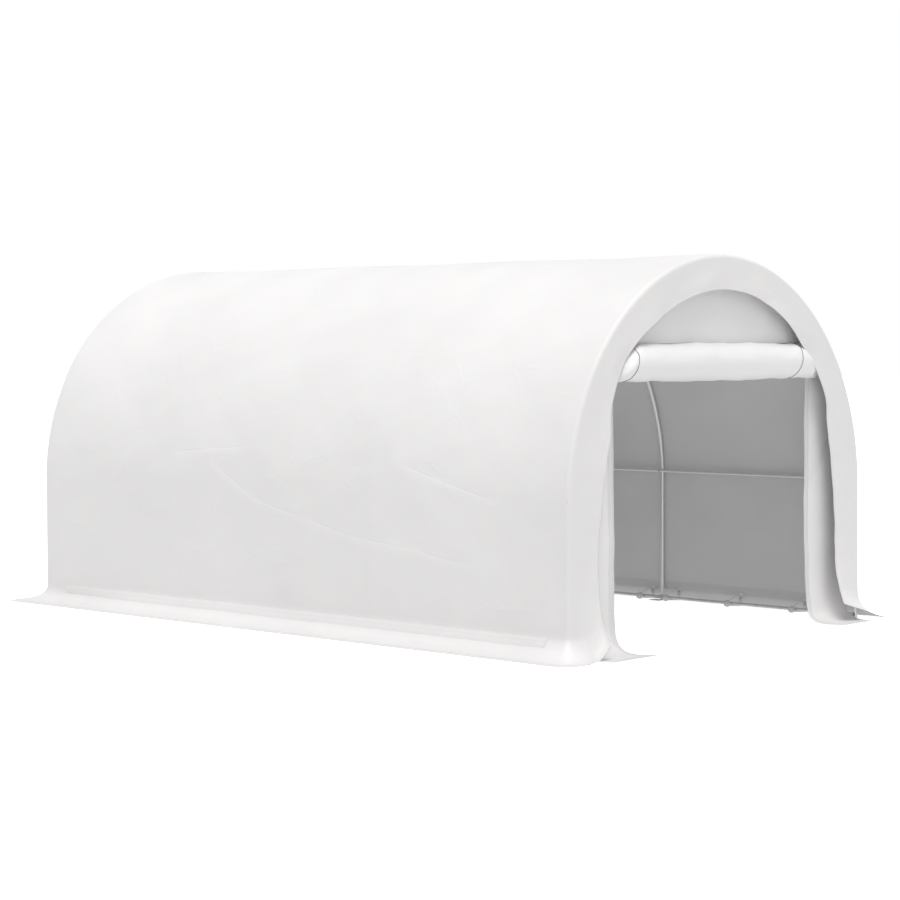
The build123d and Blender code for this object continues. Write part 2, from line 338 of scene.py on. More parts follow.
BACK_HOLLOWER, BACK_FROM, BACK_OVER = 0.9, 1.4, 0.9        # what the left side adds at the back
FREE_FROM, FREE_OVER = 0.62, 0.38          # the share of the band whose foot hangs free
FREE_EASE = 1.15
BUNGEES = [-2.001, -1.460, -0.920, -0.682, 0.0, 0.682, 0.920, 1.460, 2.001]


def hollow_curve(reach, rise, exponent):
    """(share, out, up) along a curve from upright at (0, rise) to flat at (reach, 0), and its run."""
    count = 400
    turn = np.linspace(0, math.pi / 2, count)
    out, up = reach * np.sin(turn) ** (2 / exponent), rise * np.cos(turn) ** (2 / exponent)
    steps = np.hypot(np.diff(out), np.diff(up))
    walked = np.concatenate([[0], np.cumsum(steps)]) / steps.sum()
    share = np.linspace(0, 1, count)
    return (share, np.interp(share, walked, out / reach), np.interp(share, walked, up)), steps.sum()


(SKIRT_SHARE, SKIRT_OUT, SKIRT_UP), SKIRT_RUN = hollow_curve(SIDE_REACH, FLARE_TOP, 0.75)
HEM = HANG + STRAIGHT + SKIRT_RUN         # cloth from the ridge to the hem


def at_corner(what, p, c):
    """A corner's own number, for every point, by the quarter of the tent it is in."""
    front_left, front_right, back_left, back_right = CORNERS[what]
    front, back = np.where(p < 0, front_left, front_right), np.where(p < 0, back_left, back_right)
    return np.where(c < 0, front, back)


def band_depth(p):
    """How far the band reaches in from the outer face, p cloth metres round from the ridge."""
    q = np.abs(p)
    angle = np.clip(q / ARCH_R, 0, math.pi / 2)
    reach = 1 / np.sqrt((np.sin(angle) / BAND_OPEN_X) ** 2 + (np.cos(angle) / BAND_OPEN_Z) ** 2)
    deeper = DEEPER * smooth_step((q - DEEPER_FROM) / DEEPER_OVER)
    near_foot = smooth_step((q - QUARTER + SLIMMER_RISE) / (HANG - QUARTER + SLIMMER_RISE))
    slimmer = np.where(p < 0, SLIMMER_LEFT, SLIMMER_RIGHT) * near_foot
    slack = np.where(p < 0, LEFT_SLACK * np.exp(-(((q - SLACK_AT) / SLACK_SPREAD) ** 2)), 0)
    return ARCH_R - reach + deeper - slimmer - slack


def plain_cover(p, c):
    """The cover's shape before sags and creases, for p round the tent and c along it."""
    p, c = np.broadcast_arrays(np.asarray(p, float), np.asarray(c, float))
    side, end = np.where(p < 0, -1.0, 1.0), np.where(c < 0, -1.0, 1.0)
    q, k = np.abs(p), np.abs(c)
    turn = np.clip((k - BODY) / EDGE_R, 0, math.pi / 2)
    share = np.clip((k - BODY - EDGE_ARC) / BAND_RUN, 0, 1)
    inward = EDGE_R * (1 - np.cos(turn)) + share * (band_depth(p) - EDGE_R)
    y = np.minimum(k, BODY) + EDGE_R * np.sin(turn)

    angle = np.clip(q / ARCH_R, 0, math.pi / 2)
    x = (ARCH_R - inward) * np.sin(angle)
    z = SPRING + (ARCH_R - inward) * np.cos(angle) - np.clip(q - QUARTER, 0, HANG - QUARTER)

    loose = np.clip((q - HANG) / (HEM - HANG), 0, 1)
    below = np.clip(q - HANG, 0, STRAIGHT)
    flare = np.clip((q - HANG - STRAIGHT) / SKIRT_RUN, 0, 1)
    square = at_corner("square", p, c)
    wide, deep = EDGE_R + SIDE_REACH, EDGE_R + at_corner("reach", p, c)
    plan = ((np.cos(turn) / wide) ** square + (np.sin(turn) / deep) ** square) ** (-1 / square)
    left_hollower = 1 + BACK_HOLLOWER * smooth_step((c - BACK_FROM) / BACK_OVER)
    hollower = np.where(p > 0, HOLLOWER, left_hollower)
    plan = plan * (1 - at_corner("dip", p, c) * smooth_step(share / FREE_FROM))
    out_held = (plan - EDGE_R) * np.interp(flare, SKIRT_SHARE, SKIRT_OUT) ** hollower
    drop_held = below + FLARE_TOP - np.interp(flare, SKIRT_SHARE, SKIRT_UP)
    out_free = at_corner("swing", p, c) * loose**2
    drop_free = (LOOSE_TOP - at_corner("lift", p, c)) * loose

    wide_part = smooth_step((share - 0.2) / 0.8)
    last_part = np.clip((share - FREE_FROM) / FREE_OVER, 0, 1) ** FREE_EASE
    second_half = np.clip(2 * turn / (math.pi / 2) - 1, 0, 1)
    from_tip = np.clip((second_half * FAN + share * BAND_RUN) / (FAN + BAND_RUN), 0, 1)
    stands_up = (p > 0) & (c < 0)
    free_out = np.where(stands_up, from_tip, wide_part)
    free_drop = np.where(stands_up, from_tip, last_part)
    out = out_held + free_out * (out_free - out_held)
    x = x + out * np.cos(turn)
    y = y + out * np.sin(turn)
    z = z - (drop_held + free_drop * (drop_free - drop_held))
    return np.stack([side * x, end * y, z], axis=-1)


SAG, ROOF_SAG = 0.004, 0.007               # how deep the cloth hangs between two hoops
TUG, TUG_WIDE, TUG_HIGH = 0.006, 0.10, 0.13        # how a bungee draws the wall in
RIDGE_HALF = 0.30                          # near the ridge rail the cloth is held up


def cover_relief(p, c):
    """How far the cloth stands off its plain shape, in metres, outward positive."""
    q, k = np.abs(p), np.abs(c)
    on_body = 1 - smooth_step((k - BODY + 0.10) / 0.14)
    flat = smooth_step((q - HANG - STRAIGHT) / SKIRT_RUN)
    bay = HOOPS[1] - HOOPS[0]
    between = np.sin(math.pi * (np.clip(c, HOOPS[0], HOOPS[-1]) - HOOPS[0]) / bay) ** 2
    roof = 1 - smooth_step((q - 1.6) / 1.0)
    on_ridge = np.exp(-((q / RIDGE_HALF) ** 2))
    sag = -(SAG + ROOF_SAG * roof * (1 - 0.75 * on_ridge)) * between
    slow = 0.0032 * (1 - 0.7 * on_ridge) * billow(3, p, c, 1.6, 0.5)
    slow = slow + 0.0011 * billow(5, p, c, 0.45, 0.16, 12)
    tugs = 0
    pulled_at = HEM - SKIRT_RUN - 0.02
    for place in BUNGEES:
        near = -(((c - place) / TUG_WIDE) ** 2) - ((q - pulled_at) / TUG_HIGH) ** 2
        tugs = tugs - TUG * np.exp(near)
    band = smooth_step((k - BODY - EDGE_ARC) / BAND_RUN)
    relief = on_body * (sag + slow + tugs) + (on_body + band) * folds(p, c)
    relief = np.maximum(relief, -0.0010 - 0.020 * np.maximum(between * on_body, band))
    relief = relief + band * (0.006 * billow(8, p, c, 1.3, 0.35) + 0.002 * billow(9, p, c, 0.3, 0.12))
    return relief * (1 - flat) + flat * 0.002 * billow(11, p, c, 0.5, 0.12, 12)


def cover(p, c, lift=0.0):
    """A place on the finished cover, lift metres off its outer face."""
    p, c = np.broadcast_arrays(np.asarray(p, float), np.asarray(c, float))
    step = 0.004
    round_it = plain_cover(p + step, c) - plain_cover(p - step, c)
    along = plain_cover(p, c + step) - plain_cover(p, c - step)
    normal = np.cross(round_it, along)
    normal /= np.linalg.norm(normal, axis=-1, keepdims=True)
    place = plain_cover(p, c) + normal * (cover_relief(p, c) + lift)[..., None]
    place[..., 2] = np.maximum(place[..., 2], 0.0006 + np.maximum(lift, 0))
    return place


print("ridge at", cover(0, 0).round(3), "hem at", cover(HEM, 0).round(3))

# %% [markdown]
# ### The cover's mesh
# Now the formula is read on a grid. The grid is finer where the cloth bends: round the end
# hoops, over the band and down the skirt. The rest is an even net of about two centimetres,
# close enough for the billows and creases, and coarse enough to stay light.

# %% The cover's mesh
def spaced(start, stop, step):
    return np.linspace(start, stop, max(2, int(math.ceil((stop - start) / step)) + 1))


half_rounds = np.concatenate([
    spaced(0, HANG, 0.0215),
    spaced(HANG, HANG + STRAIGHT, 0.026)[1:],
    spaced(HANG + STRAIGHT, HEM, 0.0165)[1:],
])
half_lengths = np.concatenate([
    spaced(0, BODY, 0.0225),
    spaced(BODY, BODY + EDGE_ARC, 0.0026)[1:],
    spaced(BODY + EDGE_ARC, BODY + EDGE_ARC + BAND_RUN, 0.021)[1:],
])
rounds = np.concatenate([-half_rounds[:0:-1], half_rounds])
lengths = np.concatenate([-half_lengths[:0:-1], half_lengths])
P, C = np.meshgrid(rounds, lengths, indexing="ij")
cover_sheet = new_piece(
    "cover_sheet",
    cover(P, C).reshape(-1, 3),
    grid_faces(*P.shape),
    np.stack([P, C], axis=-1).reshape(-1, 2),
)
print("cover faces", len(cover_sheet.data.polygons))

# %% [markdown]
# ### The cover's hems
# Every free edge of the cloth is folded over and sewn down. A hem shows as a narrow band that
# stands a millimetre proud, with two lines of stitches. Here it is its own thin piece, laid on
# the same formula as the cloth, so it follows every wave of the edge. The stitches are too
# small to model, so they come later, in the hem's finish. A wider doubled strip of the same
# make runs along the foot of each side wall, where the bungees pull and the skirt begins.

# %% Hems
def hem_strip(surface, edge, inward, width, step=0.02, rise=0.0014):
    """A raised strip on surface(a, b, lift), from edge (a, b) pairs, width metres inward."""
    bite = -0.0004           # the strip's two long edges sink into the cloth
    edge = np.asarray(edge, float)
    runs = np.linalg.norm(np.diff(edge, axis=0), axis=1)
    walked = np.concatenate([[0], np.cumsum(runs)])
    along = spaced(0, walked[-1], step)
    a, b = np.interp(along, walked, edge[:, 0]), np.interp(along, walked, edge[:, 1])
    across = np.array([0, 0.02, 0.5, 0.96, 1]) * width
    lift = np.array([bite, rise, 0.8 * rise, rise, bite])
    A, B = a[:, None] + inward[0] * across, b[:, None] + inward[1] * across
    places = surface(A, B, lift[None, :] + 0 * A)
    uvs = np.stack(np.broadcast_arrays(along[:, None], across[None, :]), axis=-1)
    run = edge[-1] - edge[0]
    outward = run[0] * inward[1] - run[1] * inward[0] > 0
    faces = grid_faces(*A.shape)
    return places.reshape(-1, 3), faces if outward else faces[:, ::-1], uvs.reshape(-1, 2)


def join(parts):
    """Several (points, faces, uvs) parts as one."""
    points, faces, uvs, start = [], [], [], 0
    for part_points, part_faces, part_uvs in parts:
        points.append(part_points)
        faces.append(part_faces + start)
        uvs.append(part_uvs)
        start += len(part_points)
    return np.concatenate(points), np.concatenate(faces), np.concatenate(uvs)


EDGE = BODY + EDGE_ARC + BAND_RUN
HEM_WIDTH = 0.032
SKIRT_HEM = (HEM_WIDTH, 0.02, 0.0010)      # width, step and rise
BAND_HEM = (0.018, 0.02, 0.0007)
CORNER_HEM = (HEM_WIDTH, 0.0026, 0.0010)
WALL_STRIP = (0.070, 0.02, 0.0014)
edge_lines = [
    ([(side * HEM, -EDGE), (side * HEM, -BODY - EDGE_ARC)], (-side, 0)) for side in (-1, 1)
] + [
    ([(side * HEM, BODY + EDGE_ARC), (side * HEM, EDGE)], (-side, 0)) for side in (-1, 1)
] + [
    ([(side * HEM, -BODY), (side * HEM, BODY)], (-side, 0)) for side in (-1, 1)
] + [
    ([(-HEM, end * EDGE), (HEM, end * EDGE)], (0, -end)) for end in (-1, 1)
]
corner_lines = [
    ([(side * HEM, end * BODY), (side * HEM, end * (BODY + EDGE_ARC))], (-side, 0))
    for side in (-1, 1) for end in (-1, 1)
]
STRIP_TOP = HANG + STRAIGHT + 0.002
STRIP_FRONT, STRIP_BACK = -2.30, 2.22
strip_lines = [
    ([(side * STRIP_TOP, STRIP_FRONT), (side * STRIP_TOP, STRIP_BACK)], (side, 0)) for side in (-1, 1)
]
kinds = [BAND_HEM if inward[0] == 0 else SKIRT_HEM for _, inward in edge_lines]
kinds += [CORNER_HEM] * len(corner_lines) + [WALL_STRIP] * len(strip_lines)
cover_hems = new_piece("cover_hems", *join([
    hem_strip(cover, line, inward, *kind)
    for (line, inward), kind in zip(edge_lines + corner_lines + strip_lines, kinds)
]))
print("hem faces", len(cover_hems.data.polygons))

# %% [markdown]
# ## The end walls
# Each end has an inner wall of the same cloth, set back behind the band. It hangs plumb, and
# at its foot it runs out forward over the ground as a flap. At the front the doorway is open:
# two narrow strips hang beside it and a gable closes the arch above.
# The wall is a net of upright and level threads, with the doorway left out. Points of the net
# that fall outside the arch are pulled back onto it, which trims the net to a clean curve.

# %% The end walls' formula
FOOT_TOP = 0.36          # height where the wall starts to run out
FOOT_REACH = 0.255
FLAP_DRIFT = 0.135       # how far the flaps have been pushed to the right on the ground
(FOOT_SHARE, FOOT_OUT, FOOT_UP), FOOT_RUN = hollow_curve(FOOT_REACH, FOOT_TOP, 0.385)
SLIT_X = FLAP_X - 0.064  # the flap stops here, clear of the foot plates
TIE_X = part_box("door_ties")[1].x


# The folds of the front wall (-1) and the back wall (1), as (across, cloth metres up) places.
END_FOLDS = {
    -1: [
        ([(0.595, 2.26), (0.600, 2.10)], 3.0),
        ([(-0.10, 2.27), (0.05, 2.42), (0.30, 2.52)], 2.5),
        ([(1.34, 1.46), (1.05, 1.12)], 4.0),
        ([(-1.30, 1.60), (-1.03, 1.25)], 4.0),
        ([(-0.72, 2.32), (-0.40, 2.47)], -2.0),
    ],
    1: [
        ([(-1.10, 1.55), (-0.35, 1.30), (0.30, 1.22)], 4.5),
        ([(0.20, 2.10), (0.75, 1.75), (1.10, 1.62)], 4.0),
        ([(-0.62, 0.95), (0.10, 0.86)], 3.0),
    ],
}
END_SEEDS = {-1: 21, 1: 31}
END_FOLD_WIDTH, END_FOLD_SHARE = 0.022, 0.5
HELD_RUN = 0.15          # near the arch the wall is held flat, over this much cloth


def wall_relief(x, s, end):
    """How far an end wall stands off its plane, outward positive."""
    seed = END_SEEDS[end]
    slow = 0.006 * billow(seed, x, s, 1.5, 0.5) + 0.0016 * billow(seed + 1, x, s, 0.4, 0.15, 12)
    for string, depth in END_FOLDS[end]:
        for start, stop in zip(string[:-1], string[1:]):
            far, side, _ = line_distance(x, s, (start, stop))
            slow = slow + depth / 1000 * END_FOLD_SHARE * fold_shape(far, side, END_FOLD_WIDTH)
    from_middle = np.hypot(x, np.maximum(s - FOOT_RUN + FOOT_TOP - SPRING, 0))
    return slow * smooth_step((WALL_R + 0.02 - from_middle) / HELD_RUN)


def end_wall(x, s, lift=0.0, end=-1):
    """A place on an end wall, s metres of cloth up from its flap's hem."""
    x, s = np.broadcast_arrays(np.asarray(x, float), np.asarray(s, float))
    z = FOOT_TOP + s - FOOT_RUN
    over = np.maximum(np.hypot(x, np.maximum(z - SPRING, 0)) / WALL_R, 1)
    x = x / over
    z = np.where(z > SPRING, SPRING + (z - SPRING) / over, z)
    foot = np.clip(1 - s / FOOT_RUN, 0, 1)
    flap = np.abs(x) < SLIT_X + 0.006
    out = np.where(flap, FOOT_REACH * np.interp(foot, FOOT_SHARE, FOOT_OUT), 0)
    up = np.where(flap, np.interp(foot, FOOT_SHARE, FOOT_UP), 0.008 + (FOOT_TOP - 0.008) * (1 - foot))
    z = np.where(s < FOOT_RUN, up, z)
    lying = np.where(flap, smooth_step((foot - 0.35) / 0.4), 0)
    relief = wall_relief(x, s, end) * (1 - lying) + lift
    ripple = lying * 0.0025 * billow(40 - end, x, s, 0.5, 0.12, 12)
    hem_wave = lying * 0.006 * billow(44 - end, x, 0 * x, 0.6, 0.2, 6)
    y = end * (WALL_Y + out + relief * (1 - lying) + hem_wave)
    drift = np.where(flap & (end < 0), FLAP_DRIFT * np.interp(foot, FOOT_SHARE, FOOT_OUT) ** 3, 0)
    fits = np.clip((1.41 - x) / 0.3, 0, 1)
    z = np.where(s < FOOT_RUN, np.maximum(z + ripple + lift * lying, 0.0006 + lift), z)
    return np.stack([x + drift * fits, y, z], axis=-1)


# %% [markdown]
# ### The end walls' meshes
# The net's threads are placed so that one runs exactly along each edge of the doorway, and one
# along the slit beside each flap.

# %% The end walls' meshes
HEAD_S = HEAD - FOOT_TOP + FOOT_RUN
POCKET_X = ROLL_HALF + 0.012               # room for the roll's ends
POCKET_S = HEAD_S - (HEAD - ROLL.z) - 0.97 * ROLL_R
half_threads = np.concatenate([
    spaced(0, DOOR_X, 0.020),
    spaced(DOOR_X, POCKET_X, 0.020)[1:],
    spaced(POCKET_X, SLIT_X, 0.020)[1:],
    spaced(SLIT_X, SLIT_X + 0.012, 0.012)[1:],
    spaced(SLIT_X + 0.012, WALL_R, 0.018)[1:],
])
threads = np.concatenate([-half_threads[:0:-1], half_threads])
levels = np.concatenate([
    spaced(0, FOOT_RUN, 0.018),
    spaced(FOOT_RUN, POCKET_S, 0.020)[1:],
    spaced(POCKET_S, HEAD_S, 0.020)[1:],
    spaced(HEAD_S, FOOT_RUN - FOOT_TOP + SPRING + WALL_R, 0.018)[1:],
])


def wall_mesh(name, end, doorway):
    X, S = np.meshgrid(threads, levels, indexing="ij")
    mid_x = np.abs((threads[:-1] + threads[1:]) / 2)[:, None]
    low, high = levels[:-1][None, :], levels[1:][None, :]
    z_low = low - FOOT_RUN + FOOT_TOP - SPRING
    nearest = np.minimum(np.abs(threads[:-1]), np.abs(threads[1:]))[:, None]
    keep = np.hypot(nearest, np.maximum(z_low, 0)) < WALL_R - 1e-4
    keep &= ~((mid_x > SLIT_X) & (mid_x < SLIT_X + 0.012) & (high <= FOOT_RUN + 1e-6))
    if doorway:
        keep &= ~((mid_x < DOOR_X) & (high <= HEAD_S + 1e-6))
        keep &= ~((mid_x < POCKET_X) & (low >= POCKET_S - 1e-6) & (high <= HEAD_S + 1e-6))
    faces = grid_faces(*X.shape, keep=keep)
    if end > 0:
        faces = faces[:, ::-1]
    points = end_wall(X, S, end=end).reshape(-1, 3)
    uvs = np.stack([X, S], axis=-1).reshape(-1, 2)
    return new_piece(name, *drop_loose(points, faces, uvs))


front_wall = wall_mesh("front_wall_sheet", -1, doorway=True)
back_wall = wall_mesh("back_wall_sheet", 1, doorway=False)
print("wall faces", len(front_wall.data.polygons), len(back_wall.data.polygons))

# %% [markdown]
# ### Door edges and zips
# The strips' free edges carry a wide hem, and along it half of a zip: a cloth tape with a row
# of moulded teeth. The rolled door carries the other half. The teeth are real little blocks,
# because up close a zip is read by its rhythm. The door's own half is wound up out of sight,
# so it isn't made.

# %% Door edge hems and zip teeth
def front_cloth(x, s, lift):
    return end_wall(x, s, lift, end=-1)


def back_cloth(x, s, lift):
    return end_wall(x, s, lift, end=1)


DOOR_HEM, TAPE_WIDTH = 0.045, 0.013
wall_hems = []
for side in (-1, 1):
    upright = [(side * DOOR_X, 0.03), (side * DOOR_X, POCKET_S)]
    wall_hems.append(hem_strip(front_cloth, upright, (side, 0), DOOR_HEM))
    wall_hems.append(hem_strip(front_cloth, [(side * DOOR_X, 0), (side * SLIT_X, 0)], (0, 1), HEM_WIDTH))
wall_hems.append(hem_strip(back_cloth, [(-SLIT_X, 0), (SLIT_X, 0)], (0, 1), HEM_WIDTH))
wall_hem_piece = new_piece("end_wall_hems", *join(wall_hems))


def block_row(places, along, across, out, size):
    """One little box at each place. along, across and out are its axes, size its half sizes."""
    corners = np.array([(i, j, k) for i in (-1, 1) for j in (-1, 1) for k in (-1, 1)], float)
    quads = np.array([(0, 1, 3, 2), (4, 6, 7, 5), (0, 4, 5, 1), (2, 3, 7, 6), (0, 2, 6, 4), (1, 5, 7, 3)])
    axes = np.stack([along * size[0], across * size[1], out * size[2]], axis=1)
    points = places[:, None, :] + np.einsum("cs,nsk->nck", corners, axes)
    faces = quads[None] + 8 * np.arange(len(places))[:, None, None]
    return points.reshape(-1, 3), faces.reshape(-1, 4), np.zeros((8 * len(places), 2))


def unit(v):
    return v / np.linalg.norm(v, axis=-1, keepdims=True)


TOOTH_PITCH, TOOTH = 0.006, (0.0019, 0.0042, 0.0017)
TOOTH_LIFT = 0.0022      # the teeth's middle stands this far off the cloth
tapes, teeth = [], []
for side in (-1, 1):
    run = np.arange(FOOT_RUN * 0.62, POCKET_S - 0.01, TOOTH_PITCH)
    upright = [(side * DOOR_X, run[0]), (side * DOOR_X, run[-1])]
    tapes.append(hem_strip(front_cloth, upright, (side, 0), TAPE_WIDTH, rise=0.0032))
    tooth_x = np.full(run.shape, side * (DOOR_X + 0.001))
    here = front_cloth(tooth_x, run, TOOTH_LIFT)
    ahead = unit(front_cloth(tooth_x, run + 0.004, TOOTH_LIFT) - here)
    across = np.tile([side, 0.0, 0.0], (len(run), 1))
    teeth.append(block_row(here, ahead, across, np.cross(ahead, across), TOOTH))
zip_tapes = new_piece("zip_tapes", *join(tapes))
zip_teeth = new_piece("zip_teeth", *join(teeth), smooth=False)
print("zip teeth", sum(len(part[0]) for part in teeth) // 8)

# %% [markdown]
# ## The rolled-up door
# The door is the same cloth, wound up on itself from the bottom and tied under the gable. Seen
# from its end it is a loose spiral of a few turns. Making it as a real spiral, not as a
# solid log, gives the open ends their layers. Its outline is lumpy because the turns are slack,
# it is pinched where the ties hold it, and past the ties it is squashed behind the band.

# %% The roll's formula
TURN_GAP = 0.014         # how much smaller each turn is than the one outside it
TURNS = 3.3
WIND_FROM = math.atan2(-WALL_Y - ROLL.y, HEAD - ROLL.z)
HANG_GAP = math.hypot(-WALL_Y - ROLL.y, HEAD - ROLL.z) - ROLL_R
BAND_SQUASH = 1 - (END - 0.010 + ROLL.y) / ROLL_R        # in front, past the band's edge


def tie_line(side, turn):
    """Where a tie lies along the roll. In front both ties have slipped to the left."""
    slip = 0.09 * ((1 - np.cos(turn)) / 2) ** 0.4
    return side * (TIE_X + 0.028) - slip


def roll_lumps(x, turn):
    """How much the roll swells or shrinks, as a share of its radius."""
    lumps = 0.026 * billow(51, x, 0 * x, 0.75, 0.22, 7)
    lumps = lumps + 0.022 * billow(52, x, 0 * x, 0.5, 0.2, 7) * np.cos(turn)
    lumps = lumps + 0.016 * billow(53, x, 0 * x, 0.5, 0.2, 7) * np.cos(2 * turn + 1.1)
    for side in (-1, 1):
        off = np.abs(x - tie_line(side, turn))
        lumps = lumps * (0.3 + 0.7 * smooth_step((off - 0.01) / 0.12)) - 0.06 * np.exp(-((off / 0.030) ** 2))
    return lumps


def roll_cloth(x, wind, lift=0.0):
    """A place on the rolled door. wind is the angle wound since the gable's edge."""
    x, wind = np.broadcast_arrays(np.asarray(x, float), np.asarray(wind, float))
    turn = WIND_FROM + wind
    inner_turns = np.maximum(wind / math.tau - 0.95, 0)
    radius = ROLL_R + 0.002 - TURN_GAP * inner_turns + HANG_GAP * np.exp(-wind / 0.45)
    radius = radius * (1 + roll_lumps(x, turn) * smooth_step(wind / 0.5))
    radius = radius + 0.0012 * billow(55, x, ROLL_R * wind, 0.35, 0.07, 14) * smooth_step(wind - 0.5) + lift
    y, z = radius * np.sin(turn), ROLL.z + radius * np.cos(turn)
    arch = np.sqrt(np.maximum(1 - (np.maximum(z - SPRING, 0) / BAND_OPEN_Z) ** 2, 0))
    opening = np.where(x < 0, LEFT_SLACK, 0) + BAND_OPEN_X * arch
    behind_band = smooth_step((np.abs(x) - opening + 0.040) / 0.040)
    y = np.where(y < 0, y * (1 - BAND_SQUASH * behind_band), y)
    return np.stack([x, ROLL.y + y, z], axis=-1)


X, W = np.meshgrid(
    spaced(-ROLL_HALF, ROLL_HALF, 0.021),
    spaced(0, TURNS * math.tau, math.tau / 64),
    indexing="ij",
)
door_roll = new_piece(
    "rolled_door",
    roll_cloth(X, W).reshape(-1, 3),
    grid_faces(*X.shape),
    np.stack([X, W * ROLL_R], axis=-1).reshape(-1, 2),
)
print("roll area", round(sum(face.area for face in door_roll.data.polygons), 2), "square metres")

# %% [markdown]
# ## Cords, and things turned on a lathe
# A tie, a bungee loop, a ball, an eyelet and a bolt are all rings swept along something: a cord
# sweeps a small circle along its path, and a lathe shape sweeps circles of changing size along
# an axis. Two helpers make them all.

# %% Swept shapes
def ring_faces(rings, sides, closed):
    """Quads between rings of points. closed joins the last ring to the first."""
    corner = np.arange(rings * sides).reshape(rings, sides)
    corner = np.concatenate([corner, corner[:, :1]], axis=1)
    if closed:
        corner = np.concatenate([corner, corner[:1]], axis=0)
    quads = np.stack([corner[:-1, :-1], corner[:-1, 1:], corner[1:, 1:], corner[1:, :-1]], axis=-1)
    return quads.reshape(-1, 4)


def tube(path, radius, flat_axis, sides=10, closed=False):
    """A round cord along a path that lies in one plane. flat_axis is that plane's normal."""
    path, flat_axis = np.asarray(path, float), unit(np.asarray(flat_axis, float))
    if closed:
        ahead = unit(np.roll(path, -1, 0) - np.roll(path, 1, 0))
    else:
        ahead = unit(np.gradient(path, axis=0))
    side = np.cross(ahead, flat_axis)
    angle = np.arange(sides) * math.tau / sides
    circle = np.cos(angle)[None, :, None] * side[:, None, :] + np.sin(angle)[None, :, None] * flat_axis
    thick = np.broadcast_to(radius, len(path))[:, None, None]
    points = (path[:, None, :] + thick * circle).reshape(-1, 3)
    return points, ring_faces(len(path), sides, closed), np.zeros((len(points), 2))


def turned(profile, centre, axis, sides=24, closed=False):
    """A lathe shape: (along, radius) pairs turned round an axis through a centre."""
    centre, axis = np.asarray(centre, float), unit(np.asarray(axis, float))
    helper = np.array([0.0, 0.0, 1.0]) if abs(axis[2]) < 0.9 else np.array([1.0, 0.0, 0.0])
    first = unit(np.cross(helper, axis))
    second = np.cross(axis, first)
    angle = np.arange(sides) * math.tau / sides
    circle = np.cos(angle)[:, None] * first + np.sin(angle)[:, None] * second
    along, radius = np.array(profile, float).T
    points = centre + along[:, None, None] * axis + radius[:, None, None] * circle[None]
    faces = ring_faces(len(profile), sides, closed)
    return points.reshape(-1, 3), faces, np.zeros((len(profile) * sides, 2))


def face_out(*pieces):
    """Turns every face of small closed pieces outward."""
    for piece in pieces:
        net = bmesh.new()
        net.from_mesh(piece.data)
        bmesh.ops.recalc_face_normals(net, faces=net.faces)
        net.to_mesh(piece.data)
        net.free()


# %% [markdown]
# ### Door ties
# Two thin dark cords hold the roll up. Each comes down from the gable in front of the roll,
# passes under it and goes up behind, where it is knotted. The knot and its tails are on
# the inside, where a person undoes them.

# %% Door ties
TIE_R = 0.0017
tie_parts = []
for side in (-1, 1):
    around = spaced(0.35, math.tau - 0.12, 0.07)
    loop = roll_cloth(tie_line(side, WIND_FROM + around), around, TIE_R)
    hung_from = np.array([tie_line(side, 0.0), -WALL_Y + 0.006, HEAD + 0.030])
    tie_parts.append(tube(np.vstack([[hung_from], loop]), TIE_R, (1, 0, 0), 8))
    knot_x = tie_line(side, WIND_FROM + 1.1)
    knot_at = roll_cloth(knot_x, 1.1, 0.004)
    for lean, size in ((0.0, 0.0065), (0.6, 0.0055), (-0.5, 0.0055)):
        turn = spaced(0, math.tau, 0.3)[:-1]
        wrap = np.stack([
            knot_x + size * np.cos(turn),
            knot_at[1] + size * 0.7 * np.sin(turn) * math.cos(lean),
            knot_at[2] + size * 0.7 * np.sin(turn) * math.sin(lean) + 0.2 * size * np.cos(turn),
        ], axis=1)
        tie_parts.append(tube(wrap, TIE_R, (0, -math.sin(lean), math.cos(lean)), 8, closed=True))
    for lean in (-0.28, 0.22):
        drop = spaced(0, 0.085, 0.008)
        tail = np.stack([
            knot_x + lean * drop + 0.004 * np.sin(drop * 40),
            knot_at[1] + 0.018 * smooth_step(drop / 0.03),
            knot_at[2] - drop,
        ], axis=1)
        tie_parts.append(tube(tail, TIE_R, (0, 1, 0), 8))
door_ties = new_piece("door_tie_cords", *join(tie_parts))
print("tie cord faces", len(door_ties.data.polygons))

# %% [markdown]
# ### Bungees along the ground rails
# The cover is held down by short loops of elastic, each with a plastic ball as its handle. A
# loop goes through an eyelet in a cloth tab on the inside of the wall, then round the ground
# rail, and hooks over its own ball. The ball is a lathe shape with the raised line that a
# two-part mould leaves, and two holes for the cord.

# %% Bungee loops and balls
# The loop's corners in its own upright plane, as (out, up) from the ground rail's middle.
LOOP_CORNERS = [(-0.0356, -0.0138), (0.0572, -0.0138), (0.0572, 0.0367), (0.019, 0.055), (-0.0356, 0.0138)]
LOOP_BEND, LOOP_TURN = 0.009, math.radians(50)     # its bends, and that plane's turn from the wall
BALL_R, BALL_OUT = 0.024, -0.0441
ELASTIC_R = 0.0034
SEAM_RISE, SEAM_WIDTH = 0.0007, 0.07       # the mould line round the ball, in metres and radians


